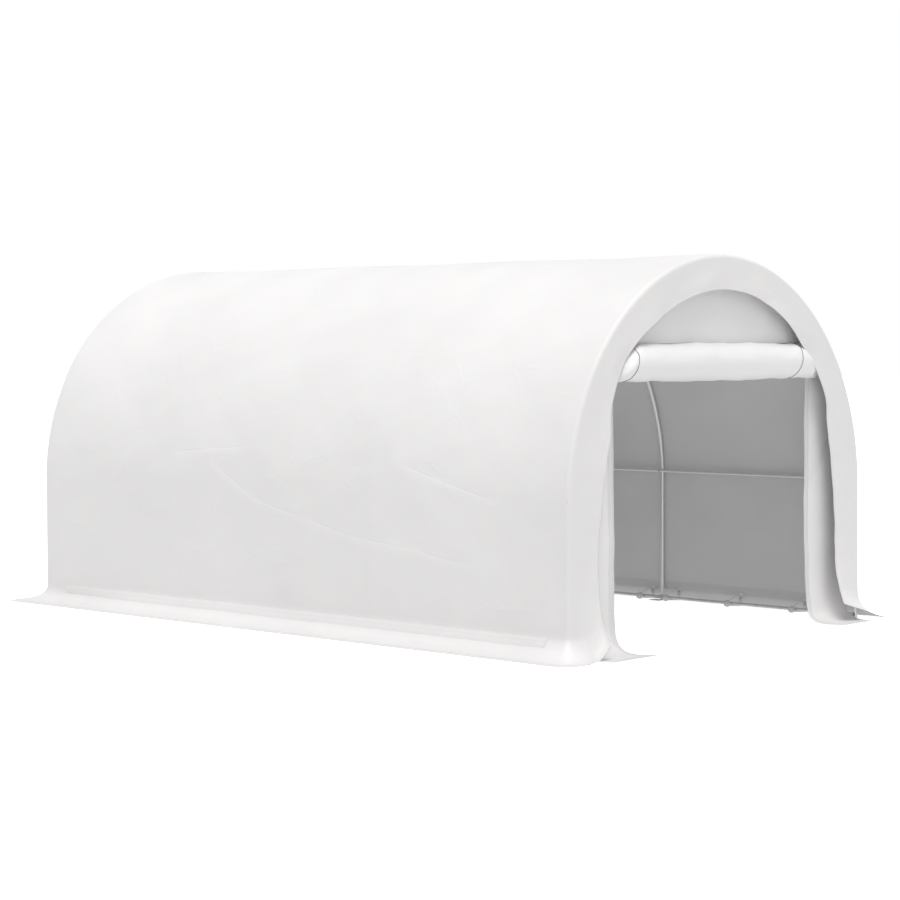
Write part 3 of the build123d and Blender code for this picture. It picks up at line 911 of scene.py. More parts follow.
def rounded_loop(corners, bend, step=0.004):
    """A closed path through corners, each corner rounded to a bend radius."""
    corners = np.asarray(corners, float)
    path = []
    for before, here, after in zip(np.roll(corners, 1, 0), corners, np.roll(corners, -1, 0)):
        back, on = unit(before - here), unit(after - here)
        half_angle = math.acos(np.clip(back @ on, -1, 1)) / 2
        longest = [0.45 * np.linalg.norm(other - here) for other in (before, after)]
        trim = min(bend / math.tan(half_angle), *longest)
        middle = here + unit(back + on) * trim / math.cos(half_angle)
        start, stop = here + back * trim - middle, here + on * trim - middle
        for share in np.linspace(0, 1, 7):
            spoke = start * (1 - share) + stop * share
            path.append(middle + unit(spoke) * np.linalg.norm(start))
    path = np.array(path)
    gaps = np.linalg.norm(np.roll(path, -1, 0) - path, axis=1)
    walked = np.concatenate([[0], np.cumsum(gaps)])
    ring = np.vstack([path, path[:1]])
    even = np.linspace(0, walked[-1], int(walked[-1] / step) + 1)[:-1]
    return np.stack([np.interp(even, walked, ring[:, k]) for k in (0, 1)], axis=1)


loop_path = rounded_loop(LOOP_CORNERS, LOOP_BEND)
polar = np.linspace(0.13, math.pi - 0.13, 17)
seam = SEAM_RISE * np.exp(-(((polar - math.pi / 2) / SEAM_WIDTH) ** 2))
ball_profile = np.stack([-(BALL_R + seam) * np.cos(polar), (BALL_R + seam) * np.sin(polar)], axis=1)
ball_profile = np.vstack([[-BALL_R + 0.004, 0.0018], ball_profile, [BALL_R - 0.004, 0.0018]])

loops, balls = {-1: [], 1: []}, {-1: [], 1: []}
for side in (-1, 1):
    axis_p = np.array([side * math.cos(LOOP_TURN), -math.sin(LOOP_TURN), 0.0])
    up = np.array([0.0, 0.0, 1.0])
    for place in BUNGEES:
        rail = np.array([side * GROUND_RAIL_X, place, GROUND_RAIL_Z])
        path = rail + loop_path[:, :1] * axis_p + loop_path[:, 1:] * up
        loops[side].append(tube(path, ELASTIC_R, np.cross(axis_p, up), 10, closed=True))
        ball_at = rail + BALL_OUT * axis_p - np.array([0, 0, GROUND_RAIL_Z - BALL_R - 0.001])
        balls[side].append(turned(ball_profile, ball_at, up, 24))
pieces_of_bungee = {}
for side, word in ((-1, "left"), (1, "right")):
    pieces_of_bungee[f"elastic_{word}"] = new_piece(f"elastic_{word}", *join(loops[side]))
    pieces_of_bungee[f"balls_{word}"] = new_piece(f"balls_{word}", *join(balls[side]))
print("bungees", len(BUNGEES), "a side")

# %% [markdown]
# ### Eyelet tabs
# Each loop needs something to pull on. A short tab of double cloth is sewn to the inside of
# the wall just above the skirt, with a zinc-plated eyelet pressed into it. The tab is
# a narrow grid that leaves the wall at its top and hangs free at its foot.

# %% Eyelet tabs
TAB_TOP, TAB_FOOT, TAB_HALF = 0.098, 0.040, 0.016
TAB_BEFORE = 0.0385      # a tab is this much nearer the front than the middle of its loop
EYELET_Z = 0.066
EYELET = [
    (0.0010, 0.0060), (0.0022, 0.0072), (0.0018, 0.0105), (0.0004, 0.0118),
    (-0.0018, 0.0105), (-0.0022, 0.0072), (-0.0010, 0.0060),
]
tab_parts, eyelet_parts = [], []
across, down = np.meshgrid(np.linspace(-1, 1, 7), np.linspace(TAB_TOP, TAB_FOOT, 12), indexing="ij")
for side in (-1, 1):
    for place in BUNGEES:
        tab_y = place - TAB_BEFORE
        wall_x = np.abs(cover(side * (QUARTER + SPRING - TAB_TOP - 0.01), tab_y)[0])
        off = 0.002 + 0.008 * smooth_step((TAB_TOP - down) / 0.06)
        points = np.stack([
            side * (wall_x - off + 0.0008 * np.sin(3 * across + place)),
            tab_y + TAB_HALF * across * (1 - 0.25 * smooth_step((0.06 - down) / 0.04)),
            down,
        ], axis=-1)
        uvs = np.stack([across * TAB_HALF, down], axis=-1)
        faces = grid_faces(*across.shape)
        tab_parts.append((points.reshape(-1, 3), faces if side > 0 else faces[:, ::-1], uvs.reshape(-1, 2)))
        eyelet_at = (side * (wall_x - 0.010), tab_y + 0.0015, EYELET_Z)
        eyelet_parts.append(turned(EYELET, eyelet_at, (1, 0, 0), 20, closed=True))
tabs = new_piece("eyelet_tabs", *join(tab_parts))
eyelets = new_piece("eyelets", *join(eyelet_parts))
print("tabs", len(tab_parts))

# %% [markdown]
# ### Bolts at the crossings
# The rails are bolted to the inside of the hoops. A crossing shows a hexagon nut and washer on
# the inside of the rail, and a low rounded bolt head on the outside of the hoop, where a tall one
# would rub through the cloth. A nut is a lathe shape with six sides, shaded flat.

# %% Nuts, washers and bolt heads
# Each profile is (along, radius) pairs in metres, from the face that the part sits on.
WASHER = [(0.0, 0.004), (0.0, 0.0088), (0.0003, 0.0092), (0.0012, 0.0092), (0.0015, 0.0088), (0.0015, 0.004)]
NUT = [(0.0015, 0.0062), (0.0020, 0.0068), (0.0065, 0.0068), (0.0070, 0.0060), (0.0070, 0.0038)]
STUD = [(0.0070, 0.0032), (0.0105, 0.0032), (0.0112, 0.0024), (0.0112, 0.0002)]
HEAD_OUT = [(-0.0006, 0.0080), (0.0002, 0.0080), (0.0011, 0.0060), (0.0016, 0.0035), (0.0018, 0.0002)]
nut_parts, washer_parts = [], []


def bolt(at_rail, at_hoop):
    """A bolt through a crossing, from the rail's inner face to the hoop's outer face."""
    at_rail, at_hoop = np.asarray(at_rail, float), np.asarray(at_hoop, float)
    inward = unit(at_rail - at_hoop)
    nut_parts.append(turned(NUT, at_rail, inward, 6))
    washer_parts.append(turned(WASHER, at_rail - 0.0002 * inward, inward, 24))
    washer_parts.append(turned(STUD, at_rail, inward, 16))
    washer_parts.append(turned(HEAD_OUT, at_hoop, -inward, 24))


ridge_foot, crown_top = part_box("ridge_rail")[0].z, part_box("hoop_1_crown")[1].z
for hoop_y in HOOPS:
    for side in (-1, 1):
        bolt((side * (RAIL_X - RAIL_R), hoop_y, RAIL_Z), (side * (HOOP_X + HOOP_R), hoop_y, RAIL_Z))
    bolt((0, hoop_y, ridge_foot), (0, hoop_y, crown_top))
nuts = new_piece("nuts", *join(nut_parts), smooth=False)
washers = new_piece("washers_and_bolts", *join(washer_parts))
print("bolts", len(nut_parts))

# %% [markdown]
# ## Finishes
# A finish is a material made of nodes. A few effects come back in several finishes: the weave,
# the creases, the slow change of shade, the dust near the ground, stitches, and small scratches.
# Each of those is built once as a node group with named inputs, and placed where it is needed
# with its own numbers. A small helper makes a node, fills in its inputs, and joins it up.

# %% Node helpers
def add(tree, kind, feeds=None, **settings):
    """A new node. feeds maps input names or numbers to a value or to another node's output."""
    made = tree.nodes.new(kind)
    for name, value in settings.items():
        setattr(made, name, value)
    for name, value in (feeds or {}).items():
        if isinstance(value, bpy.types.NodeSocket):
            tree.links.new(value, made.inputs[name])
        else:
            made.inputs[name].default_value = value
    return made


def sum_up(tree, operation, *values, clamp=False):
    """One Math node's result."""
    feeds = dict(enumerate(values))
    return add(tree, "ShaderNodeMath", feeds, operation=operation, use_clamp=clamp).outputs[0]


def vector_sum(tree, operation, *values):
    """One Vector Math node's outputs: [0] is its vector, ["Value"] its number."""
    return add(tree, "ShaderNodeVectorMath", dict(enumerate(values)), operation=operation).outputs


def scaled(tree, place, scale):
    """A vector times a number."""
    return add(tree, "ShaderNodeVectorMath", {0: place, "Scale": scale}, operation="SCALE").outputs[0]


def noise(tree, place, scale, detail, roughness=0.5):
    """A Noise Texture node's outputs: "Fac" and "Color"."""
    feeds = {"Vector": place, "Scale": scale, "Detail": detail, "Roughness": roughness}
    return add(tree, "ShaderNodeTexNoise", feeds).outputs


def soft_range(tree, value, low, high, to_low=0.0, to_high=1.0):
    """Value carried from low..high to to_low..to_high along a soft curve."""
    feeds = {"Value": value, "From Min": low, "From Max": high, "To Min": to_low, "To Max": to_high}
    return add(tree, "ShaderNodeMapRange", feeds, interpolation_type="SMOOTHSTEP").outputs["Result"]


def blend_colours(tree, share, first, second):
    mixer = add(tree, "ShaderNodeMix", data_type="RGBA")
    for socket, value in ((mixer.inputs[0], share), (mixer.inputs[6], first), (mixer.inputs[7], second)):
        if isinstance(value, bpy.types.NodeSocket):
            tree.links.new(value, socket)
        else:
            socket.default_value = value
    return mixer.outputs[2]


def new_group(name, inputs, outputs):
    """A node group with named sockets. An input of None is a vector."""
    group = bpy.data.node_groups.new(name, "ShaderNodeTree")
    for label, value in inputs.items():
        kind = "NodeSocketVector" if value is None else "NodeSocketFloat"
        socket = group.interface.new_socket(label, in_out="INPUT", socket_type=kind)
        if value is not None:
            socket.default_value = value
    for label in outputs:
        group.interface.new_socket(label, in_out="OUTPUT", socket_type="NodeSocketFloat")
    return group, group.nodes.new("NodeGroupInput").outputs, group.nodes.new("NodeGroupOutput").inputs


# %% [markdown]
# ### The weave
# The cloth is woven from flat plastic tapes, over one and under the next, then coated on both
# sides. Each tape is a flat-topped ridge that rises and dives. The higher of the two tapes at
# a place is what shows, so the weave is simply the larger of two ridges.

# %% Weave group
weave, given, result = new_group("tape_weave", {"Place": None, "Pitch": 0.0024}, ["Height"])
tree = weave
cells = scaled(tree, given["Place"], sum_up(tree, "DIVIDE", 1.0, given["Pitch"]))
split = add(tree, "ShaderNodeSeparateXYZ", {0: cells})
ridges = []
for this, other, shift in ((0, 1, 0.0), (1, 0, 1.0)):
    ridge = sum_up(tree, "PINGPONG", split.outputs[this], 0.5)
    ridge = sum_up(tree, "POWER", sum_up(tree, "MULTIPLY", ridge, 2.0), 0.35)
    lane = sum_up(tree, "ADD", sum_up(tree, "FLOOR", split.outputs[this]), shift)
    beat = sum_up(tree, "ADD", split.outputs[other], lane)
    dive = sum_up(tree, "SINE", sum_up(tree, "MULTIPLY", beat, math.pi))
    ridges.append(sum_up(tree, "MULTIPLY_ADD", dive, 0.35, ridge))
tree.links.new(sum_up(tree, "MAXIMUM", *ridges), result["Height"])

# %% [markdown]
# ### Creases as fine lines
# Besides the wide folds that bend the mesh, the cloth has narrow creases that the mesh's net
# can't hold. One group draws one of them: it measures how far a place on the cloth is from
# a straight line between two ends, and sinks a narrow valley there that fades out at both ends.

# %% Fine crease group
fine_crease, given, result = new_group(
    "fine_crease",
    {"Place": None, "From": None, "To": None, "Width": 0.006, "Depth": 0.001, "Height": 0.0},
    ["Height"],
)
tree = fine_crease
reach = vector_sum(tree, "SUBTRACT", given["To"], given["From"])[0]
# Adding the height so far moves the place by a millimetre or so. It makes the renderer work the
# creases out one after another, because it can't hold them all at once.
here = vector_sum(tree, "ADD", given["Place"], given["Height"])[0]
away = vector_sum(tree, "SUBTRACT", here, given["From"])[0]
along = vector_sum(tree, "DOT_PRODUCT", away, reach)["Value"]
whole = vector_sum(tree, "DOT_PRODUCT", reach, reach)["Value"]
share = sum_up(tree, "DIVIDE", along, whole, clamp=True)
nearest = scaled(tree, reach, share)
gap = vector_sum(tree, "DISTANCE", away, nearest)["Value"]
valley = soft_range(tree, sum_up(tree, "DIVIDE", gap, given["Width"]), 0.0, 1.0, 1.0, 0.0)
ends = sum_up(tree, "SINE", sum_up(tree, "MULTIPLY", share, math.pi))
sunk = sum_up(tree, "MULTIPLY", sum_up(tree, "MULTIPLY", valley, ends), given["Depth"])
tree.links.new(sum_up(tree, "SUBTRACT", given["Height"], sunk), result["Height"])

# They run down the middle of the wide folds. Each is two ends in cloth metres, and its depth
# in millimetres.
FINE_SHARE = 0.22
FINE_CREASES = []
for string, depth in WALL_STRINGS + BAND_STRINGS:
    for start, stop in zip(string[:-1], string[1:]):
        FINE_CREASES.append((start, stop, abs(depth) * FINE_SHARE))
print("fine creases", len(FINE_CREASES))

# %% [markdown]
# ### Packing creases
# Cloth that was folded small keeps a faint net of straight creases. The edges between the
# cells of a Voronoi pattern are just such a net. Bending the coordinates a little with noise
# keeps it from looking like tiles, and a second noise rubs part of the net away.

# %% Crease group
crease, given, result = new_group("packing_creases", {"Place": None, "Size": 0.3, "Share": 0.5}, ["Height"])
tree = crease
bend = noise(tree, given["Place"], 3.0, 2.0)["Color"]
bend_by = scaled(tree, vector_sum(tree, "SUBTRACT", bend, (0.5, 0.5, 0.5))[0], 0.16)
bent = vector_sum(tree, "ADD", given["Place"], bend_by)[0]
cells = scaled(tree, bent, sum_up(tree, "DIVIDE", 1.0, given["Size"]))
net = add(tree, "ShaderNodeTexVoronoi", {"Vector": cells, "Scale": 1.0}, feature="DISTANCE_TO_EDGE")
line = soft_range(tree, net.outputs["Distance"], 0.0, 0.07, 1.0, 0.0)
rub = noise(tree, given["Place"], 1.7, 3.0)["Fac"]
limit = sum_up(tree, "SUBTRACT", 0.75, sum_up(tree, "MULTIPLY", given["Share"], 0.5))
kept = soft_range(tree, rub, limit, 0.8)
tree.links.new(sum_up(tree, "MULTIPLY", line, kept), result["Height"])

# %% [markdown]
# ### Slow shade, dust and fine grain
# No big sheet is one even white. A slow noise moves its shade by a few percent. Dust gathers
# where rain splashes up, so it depends on the height above the ground, broken up by noise.
# Fine grain is the pitting of a coating or of moulded plastic, only a fraction of a millimetre.
# At a coarser scale the same noise is the soft mottle of coated cloth.

# %% Shade, dust and grain groups
shade, given, result = new_group("slow_shade", {"Place": None, "Scale": 1.2}, ["Shade"])
tree = shade
clouds = noise(tree, given["Place"], given["Scale"], 4.0, 0.55)["Fac"]
tree.links.new(soft_range(tree, clouds, 0.3, 0.7), result["Shade"])

dust, given, result = new_group("ground_dust", {"Place": None, "Top": 0.25}, ["Mask"])
tree = dust
height = add(tree, "ShaderNodeSeparateXYZ", {0: given["Place"]}).outputs["Z"]
low = sum_up(tree, "SUBTRACT", 1.0, sum_up(tree, "DIVIDE", height, given["Top"]), clamp=True)
specks = noise(tree, given["Place"], 14.0, 6.0, 0.7)["Fac"]
broken = soft_range(tree, specks, 0.38, 0.68)
tree.links.new(sum_up(tree, "MULTIPLY", sum_up(tree, "POWER", low, 1.8), broken), result["Mask"])

grain, given, result = new_group("fine_grain", {"Place": None, "Scale": 900.0}, ["Height"])
tree = grain
tree.links.new(noise(tree, given["Place"], given["Scale"], 3.0, 0.6)["Fac"], result["Height"])

# %% [markdown]
# ### Stitches and scratches
# A row of stitches is a line at a set distance from the hem's edge, cut into dashes along its
# length. Scratches are long thin bits of noise: noise stretched far along one direction and
# cut off near its peaks.

# %% Stitch and scratch groups
stitch, given, result = new_group(
    "stitch_row", {"Place": None, "From edge": 0.005, "Length": 0.007, "Thread": 0.0012}, ["Mask"],
)
tree = stitch
split = add(tree, "ShaderNodeSeparateXYZ", {0: given["Place"]})
off = sum_up(tree, "ABSOLUTE", sum_up(tree, "SUBTRACT", split.outputs["Y"], given["From edge"]))
thread = soft_range(tree, sum_up(tree, "DIVIDE", off, given["Thread"]), 0.4, 1.0, 1.0, 0.0)
beat = sum_up(tree, "PINGPONG", sum_up(tree, "DIVIDE", split.outputs["X"], given["Length"]), 0.5)
dash = soft_range(tree, beat, 0.09, 0.16)
tree.links.new(sum_up(tree, "MULTIPLY", thread, dash), result["Mask"])

scratch, given, result = new_group("rub_marks", {"Place": None, "Scale": 60.0, "Share": 0.2}, ["Mask"])
tree = scratch
drawn_out = vector_sum(tree, "MULTIPLY", given["Place"], (1.0, 0.12, 0.35))[0]
streaks = noise(tree, drawn_out, given["Scale"], 5.0, 0.65)["Fac"]
limit = sum_up(tree, "SUBTRACT", 0.78, sum_up(tree, "MULTIPLY", given["Share"], 0.4))
full = sum_up(tree, "ADD", limit, 0.06)
tree.links.new(soft_range(tree, streaks, limit, full), result["Mask"])


def place_group(tree, group, feeds):
    placed = tree.nodes.new("ShaderNodeGroup")
    placed.node_tree = group
    for name, value in feeds.items():
        if isinstance(value, bpy.types.NodeSocket):
            tree.links.new(value, placed.inputs[name])
        else:
            placed.inputs[name].default_value = value
    return placed.outputs[0]


# %% [markdown]
# ### The cloth's finish
# The outside is a clean white coating with a soft shine. The inside face is painted a darker grey:
# painted shade, which makes the inside of the tent look so much darker. Geometry's
# Backfacing output tells the two sides of one sheet apart. Close to the ground the cloth is
# greyer, a smooth change with height. The end walls and the rolled door are painted whiter than
# the cover, though they are the same cloth: painted light. The weave and the creases add up as
# real heights in metres and go through one Bump node.

# %% Cloth finishes
# The inside colour is painted shade: the cloth's inside face is painted grey so that the inside of the tent
# looks darker.
WHITE, INSIDE_SHADE, DUST = (0.785, 0.775, 0.773, 1), (0.64, 0.635, 0.64, 1), (0.46, 0.42, 0.36, 1)
# Painted light: the rolled door and the end walls are the same cloth as the cover, set whiter so that they
# look brighter under the band and gable.
ROLL_LIT_WHITE, WALL_LIT_WHITE = (0.85, 0.845, 0.85, 1), (0.825, 0.815, 0.812, 1)
THREAD, GROUND_GREY = (0.62, 0.62, 0.60, 1), (0.50, 0.49, 0.485, 1)
LET_THROUGH = 0.065      # the share of light that comes through the sheet
GREY_TOP, GREY_SHARE = 0.06, 0.26      # below this height the cloth is greyer, at most so much
WEAVE_PITCH, WEAVE_DEPTH = 0.0026, 0.00006
PACKED_DEPTH, MOTTLE_DEPTH, THREAD_DEPTH = 0.0012, 0.0007, 0.0006
FINE_WIDTH = 0.009
STITCH_ROWS = (0.005, 0.026)       # how far from the hem's edge its two rows of stitches are


def toned(tint, share):
    """A colour times a share, for a slightly darker or lighter shade of it."""
    return [share * v for v in tint[:3]] + [1]


def new_finish(name, roughness):
    """An empty finish: its node tree, its Principled shader, and places in metres on the object."""
    material = bpy.data.materials.new(name)
    material.use_nodes = True
    tree = material.node_tree
    shader = tree.nodes["Principled BSDF"]
    shader.inputs["Roughness"].default_value = roughness
    place = add(tree, "ShaderNodeTexCoord").outputs["Object"]
    return material, tree, shader, place


def feed(tree, shader, colour=None, roughness=None, height=None):
    """Joins a colour, a roughness and a height in metres to the shader."""
    if colour is not None:
        tree.links.new(colour, shader.inputs["Base Color"])
    if roughness is not None:
        tree.links.new(roughness, shader.inputs["Roughness"])
    if height is not None:
        bump = add(tree, "ShaderNodeBump", {"Height": height, "Strength": 1.0, "Distance": 1.0})
        tree.links.new(bump.outputs[0], shader.inputs["Normal"])


def cloth_finish(name, white, inside_paint, crease_size=0.34, stitched=False, lines=()):
    material, tree, shader, place = new_finish(name, 0.48)
    cloth = add(tree, "ShaderNodeUVMap", uv_map="cloth_metres").outputs[0]
    tone = place_group(tree, shade, {"Place": place, "Scale": 1.1})
    grime = place_group(tree, dust, {"Place": place, "Top": 0.30})
    outer = blend_colours(tree, tone, toned(white, 0.965), white)
    # Painted shade: the inside face takes the inside colour, which darkens the inside of the tent for the
    # cover, the walls and the hems.
    inner = blend_colours(tree, tone, toned(inside_paint, 0.93), inside_paint)
    behind = add(tree, "ShaderNodeNewGeometry").outputs["Backfacing"]
    colour = blend_colours(tree, behind, outer, inner)
    colour = blend_colours(tree, sum_up(tree, "MULTIPLY", grime, 0.05), colour, DUST)
    # Towards the ground the cloth is greyer, a smooth change with height.
    high = add(tree, "ShaderNodeSeparateXYZ", {0: place}).outputs["Z"]
    near_ground = soft_range(tree, high, 0.0, GREY_TOP, GREY_SHARE, 0.0)
    colour = blend_colours(tree, near_ground, colour, GROUND_GREY)
    woven = place_group(tree, weave, {"Place": cloth, "Pitch": WEAVE_PITCH})
    height = sum_up(tree, "MULTIPLY", woven, WEAVE_DEPTH)
    packed = place_group(tree, crease, {"Place": cloth, "Size": crease_size, "Share": 0.75})
    height = sum_up(tree, "MULTIPLY_ADD", packed, PACKED_DEPTH, height)
    mottle = place_group(tree, grain, {"Place": cloth, "Scale": 60.0})
    height = sum_up(tree, "MULTIPLY_ADD", mottle, MOTTLE_DEPTH, height)
    for start, stop, depth in lines:
        ends = {"Place": cloth, "From": (*start, 0), "To": (*stop, 0)}
        size = {"Width": FINE_WIDTH, "Depth": depth / 1000}
        height = place_group(tree, fine_crease, {**ends, **size, "Height": height})
    if stitched:
        rows = [place_group(tree, stitch, {"Place": cloth, "From edge": edge}) for edge in STITCH_ROWS]
        rows = sum_up(tree, "MAXIMUM", *rows)
        colour = blend_colours(tree, sum_up(tree, "MULTIPLY", rows, 0.35), colour, THREAD)
        height = sum_up(tree, "MULTIPLY_ADD", rows, THREAD_DEPTH, height)
    rough = soft_range(tree, tone, 0.0, 1.0, 0.44, 0.54)
    feed(tree, shader, colour, rough, height)
    glow = add(tree, "ShaderNodeBsdfTranslucent", {"Color": colour})
    both = add(tree, "ShaderNodeMixShader", {0: LET_THROUGH, 1: shader.outputs[0], 2: glow.outputs[0]})
    tree.links.new(both.outputs[0], tree.nodes["Material Output"].inputs["Surface"])
    return material


cover_cloth = cloth_finish("cover_cloth", WHITE, INSIDE_SHADE, lines=FINE_CREASES)
# Painted light: the end walls, the zip tapes and the rolled door get a whiter copy of the cover's cloth.
lit_wall_cloth = cloth_finish("end_wall_cloth", WALL_LIT_WHITE, INSIDE_SHADE, crease_size=0.27)
hem_cloth = cloth_finish("stitched_hem", WHITE, INSIDE_SHADE, stitched=True)
roll_lit_cloth_finish = cloth_finish("rolled_cloth_lightened", ROLL_LIT_WHITE, ROLL_LIT_WHITE, crease_size=0.20)
print("cloth finishes made")

# %% [markdown]
# ### Metal, plastic and cord finishes
# The hoops and rails are steel tube under a pale powder coating, which has a very fine orange
# peel and is rubbed where the parts are handled. The foot plates have the same coating, thicker,
# so less of the metal shows through. The bolts and eyelets are zinc plated: metal, a little
# blotchy. The balls are moulded plastic. The elastic has a braided cover, and the ties are thin
# dark cord.

# %% Metal, plastic and cord finishes
def coated_tube(name, tint, metal=0.75):
    material, tree, shader, place = new_finish(name, 0.40)
    tone = place_group(tree, shade, {"Place": place, "Scale": 5.0})
    shader.inputs["Metallic"].default_value = metal
    rubbed = place_group(tree, scratch, {"Place": place, "Scale": 45.0, "Share": 0.28})
    grime = place_group(tree, dust, {"Place": place, "Top": 0.35})
    colour = blend_colours(tree, tone, toned(tint, 0.94), [*tint, 1])
    colour = blend_colours(tree, sum_up(tree, "MULTIPLY", rubbed, 0.5), colour, (0.52, 0.52, 0.51, 1))
    colour = blend_colours(tree, sum_up(tree, "MULTIPLY", grime, 0.35), colour, DUST)
    peel = place_group(tree, grain, {"Place": place, "Scale": 420.0})
    height = sum_up(tree, "MULTIPLY", peel, 0.00008)
    rough = soft_range(tree, rubbed, 0.0, 1.0, 0.28, 0.48)
    feed(tree, shader, colour, rough, height)
    return material


def zinc(name, tint):
    material, tree, shader, place = new_finish(name, 0.38)
    shader.inputs["Metallic"].default_value = 1.0
    spangle = add(tree, "ShaderNodeTexVoronoi", {"Vector": place, "Scale": 160.0}).outputs["Color"]
    flake = add(tree, "ShaderNodeSeparateColor", {0: spangle}).outputs[0]
    grime = place_group(tree, dust, {"Place": place, "Top": 0.12})
    colour = blend_colours(tree, flake, toned(tint, 0.82), [*tint, 1])
    colour = blend_colours(tree, sum_up(tree, "MULTIPLY", grime, 0.6), colour, DUST)
    pits = place_group(tree, grain, {"Place": place, "Scale": 700.0})
    height = sum_up(tree, "MULTIPLY", pits, 0.00005)
    rough = soft_range(tree, flake, 0.0, 1.0, 0.30, 0.46)
    feed(tree, shader, colour, rough, height)
    return material


def moulded(name, tint, roughness):
    material, tree, shader, place = new_finish(name, roughness)
    tone = place_group(tree, shade, {"Place": place, "Scale": 30.0})
    rubbed = place_group(tree, scratch, {"Place": place, "Scale": 120.0, "Share": 0.22})
    colour = blend_colours(tree, tone, toned(tint, 0.90), [*tint, 1])
    colour = blend_colours(tree, sum_up(tree, "MULTIPLY", rubbed, 0.3), colour, toned(tint, 1.15))
    pits = place_group(tree, grain, {"Place": place, "Scale": 1100.0})
    height = sum_up(tree, "MULTIPLY", pits, 0.00006)
    rough = soft_range(tree, rubbed, 0.0, 1.0, roughness, roughness + 0.15)
    feed(tree, shader, colour, rough, height)
    return material


def braided(name, tint, pitch):
    material, tree, shader, place = new_finish(name, 0.75)
    askew = add(tree, "ShaderNodeMapping", {"Vector": place, "Rotation": (0.6, 0.4, 0.8)}).outputs[0]
    braid = place_group(tree, weave, {"Place": askew, "Pitch": pitch})
    tone = place_group(tree, shade, {"Place": place, "Scale": 40.0})
    low = toned(tint, 0.72)
    # Painted shade: the braid is darker where it lies lower, in its hollows.
    colour = blend_colours(tree, soft_range(tree, braid, 0.4, 1.2), low, [*tint, 1])
    colour = blend_colours(tree, sum_up(tree, "MULTIPLY", tone, 0.2), colour, low)
    rough = soft_range(tree, braid, 0.3, 1.2, 0.85, 0.65)
    feed(tree, shader, colour, rough, sum_up(tree, "MULTIPLY", braid, 0.0002))
    return material


hoop_paint = coated_tube("hoop_paint", (0.84, 0.84, 0.84))
rail_paint = coated_tube("rail_paint", (0.80, 0.80, 0.80))
foot_paint = coated_tube("foot_paint", (0.80, 0.80, 0.80), metal=0.2)
bolt_zinc = zinc("bolt_zinc", (0.66, 0.66, 0.65))
ball_plastic = moulded("ball_plastic", (0.72, 0.72, 0.71), 0.42)
zip_plastic = moulded("zip_plastic", (0.72, 0.72, 0.71), 0.38)
elastic_cord = braided("elastic_cord", (0.74, 0.74, 0.73), 0.0011)
tie_cord = braided("tie_cord", (0.10, 0.10, 0.105), 0.0009)
print("finishes", len(bpy.data.materials))

# %% [markdown]
# ## Putting the finishes on
# Every piece now gets its finish, rides on the one body there is, and hides the plain CAD
# stand-ins it takes the place of. The tubes and plates keep their CAD shapes, and only their
# material slots are filled.

# %% Dress the pieces
face_out(zip_teeth, door_ties, eyelets, nuts, washers, *pieces_of_bungee.values())
dress(
    cover_sheet, cover_cloth, "cover_cloth",
    "cover_crown", "cover_haunch_left", "cover_haunch_right", "cover_wall_left", "cover_wall_right",
    "front_band", "back_band", "skirt_left", "skirt_right",
)
dress(cover_hems, hem_cloth, "cover_cloth")
dress(
    front_wall, lit_wall_cloth, "end_wall_cloth",
    "front_gable", "front_wall_left", "front_wall_right", "front_flap_left", "front_flap_right",
)
dress(back_wall, lit_wall_cloth, "end_wall_cloth", "back_wall", "back_flap")
dress(wall_hem_piece, hem_cloth, "end_wall_cloth")
dress(door_roll, roll_lit_cloth_finish, "end_wall_cloth", "door_roll")
dress(door_ties, tie_cord, "tie_cord", "door_ties")
dress(zip_tapes, lit_wall_cloth, "zip")
dress(zip_teeth, zip_plastic, "zip")
dress(tabs, hem_cloth, "cover_cloth")
dress(eyelets, bolt_zinc, "hardware")
dress(nuts, bolt_zinc, "hardware")
dress(washers, bolt_zinc, "hardware")
for word in ("left", "right"):
    dress(pieces_of_bungee[f"elastic_{word}"], elastic_cord, "bungee", f"bungees_{word}")
    dress(pieces_of_bungee[f"balls_{word}"], ball_plastic, "bungee", f"bungees_{word}")


def refinish(material, *names):
    """Fills the material slots of CAD nodes."""
    for name in names:
        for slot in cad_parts[name].material_slots:
            slot.material = material


hoop_nodes = [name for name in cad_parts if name.startswith(("hoop_", "legs_"))]
rail_nodes = [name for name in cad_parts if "_rail" in name]
refinish(hoop_paint, *hoop_nodes)
refinish(rail_paint, *rail_nodes)
refinish(foot_paint, "foot_plates_left", "foot_plates_right")
print("CAD nodes refinished", len(hoop_nodes) + len(rail_nodes) + 2)

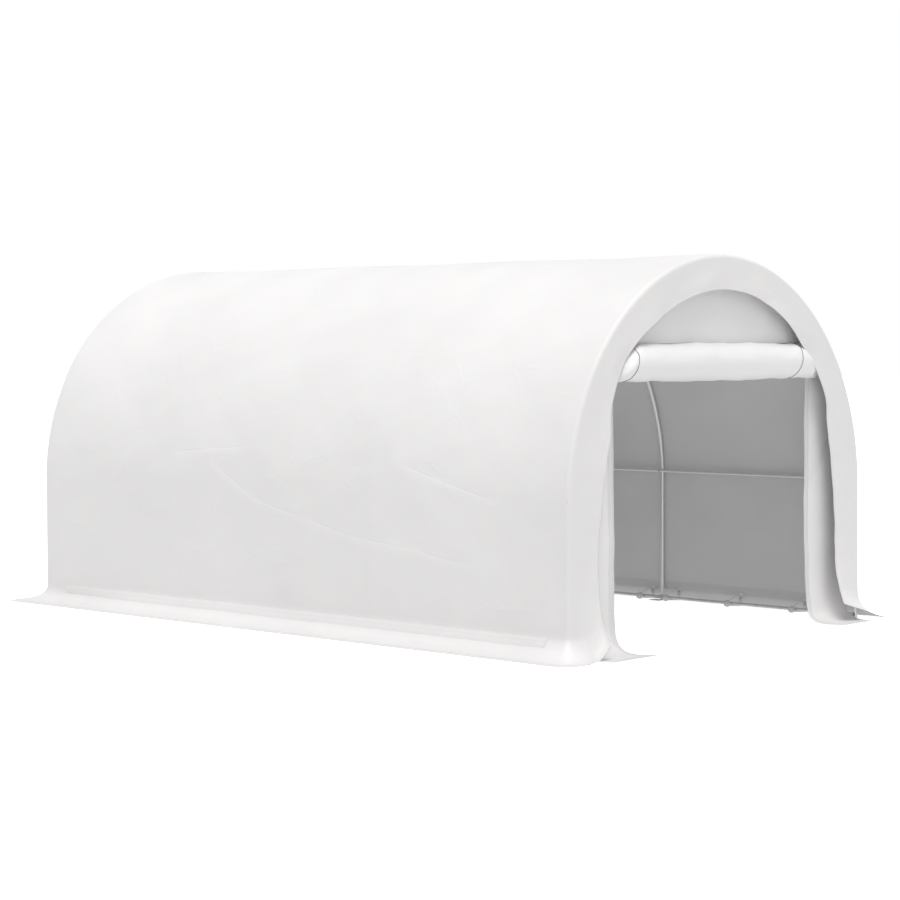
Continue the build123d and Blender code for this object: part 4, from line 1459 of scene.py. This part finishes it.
# %% [markdown]
# ## Floor and light
# The tent stands in a plain pale studio. The sky is an even white, which gives soft shadows
# under every edge. One very wide sun from above, a little to the front and left, makes the roof
# the brightest part. The floor is a plain pale sheet that gives some light back, as a white
# studio floor does. Sky and floor look whiter to the camera than the light they give, which the
# Light Path node makes possible, so the tent stands out against them without being washed out.

# %% Floor and light
SKY, SKY_SHOWN = 0.70, 1.0                # the light the sky gives, and how bright it looks itself
FLOOR_GLOW, FLOOR_SHOWN = 0.46, 0.88      # the same for the floor
SUN, SUN_FROM, SUN_WIDTH = 0.68, (-0.14, -0.19, 0.97), 40
FLOOR_HALF, FLOOR_Z = 90, -0.001
floor = new_piece(
    "floor",
    [(x * FLOOR_HALF, y * FLOOR_HALF, FLOOR_Z) for x, y in ((-1, -1), (1, -1), (1, 1), (-1, 1))],
    [(0, 1, 2, 3)],
)
pale_floor, tree, shader, place = new_finish("pale_floor", 0.9)
shader.inputs["Specular IOR Level"].default_value = 0.0
paper = place_group(tree, shade, {"Place": place, "Scale": 0.4})
feed(tree, shader, blend_colours(tree, paper, (0.45, 0.45, 0.45, 1), (0.47, 0.47, 0.47, 1)))
shader.inputs["Emission Color"].default_value = (1, 1, 1, 1)
looked_at = add(tree, "ShaderNodeLightPath").outputs["Is Camera Ray"]
glow = soft_range(tree, looked_at, 0.0, 1.0, FLOOR_GLOW, FLOOR_SHOWN)
tree.links.new(glow, shader.inputs["Emission Strength"])
floor.data.materials.append(pale_floor)

world = bpy.data.worlds.new("white_studio")
bpy.context.scene.world = world
world.use_nodes = True
tree = world.node_tree
seen = add(tree, "ShaderNodeLightPath").outputs["Is Camera Ray"]
glow = soft_range(tree, seen, 0.0, 1.0, SKY, SKY_SHOWN)
tree.links.new(glow, tree.nodes["Background"].inputs["Strength"])
tree.nodes["Background"].inputs["Color"].default_value = (1, 1, 1, 1)
sun_data = bpy.data.lights.new("soft_top_light", "SUN")
sun_data.energy = SUN * math.pi
sun_data.angle = math.radians(SUN_WIDTH)
sun = bpy.data.objects.new("soft_top_light", sun_data)
sun.rotation_euler = Vector(SUN_FROM).to_track_quat("Z", "Y").to_euler()
bpy.context.scene.collection.objects.link(sun)
bpy.context.scene.view_settings.view_transform = "Standard"
print("lights", sun_data.energy)
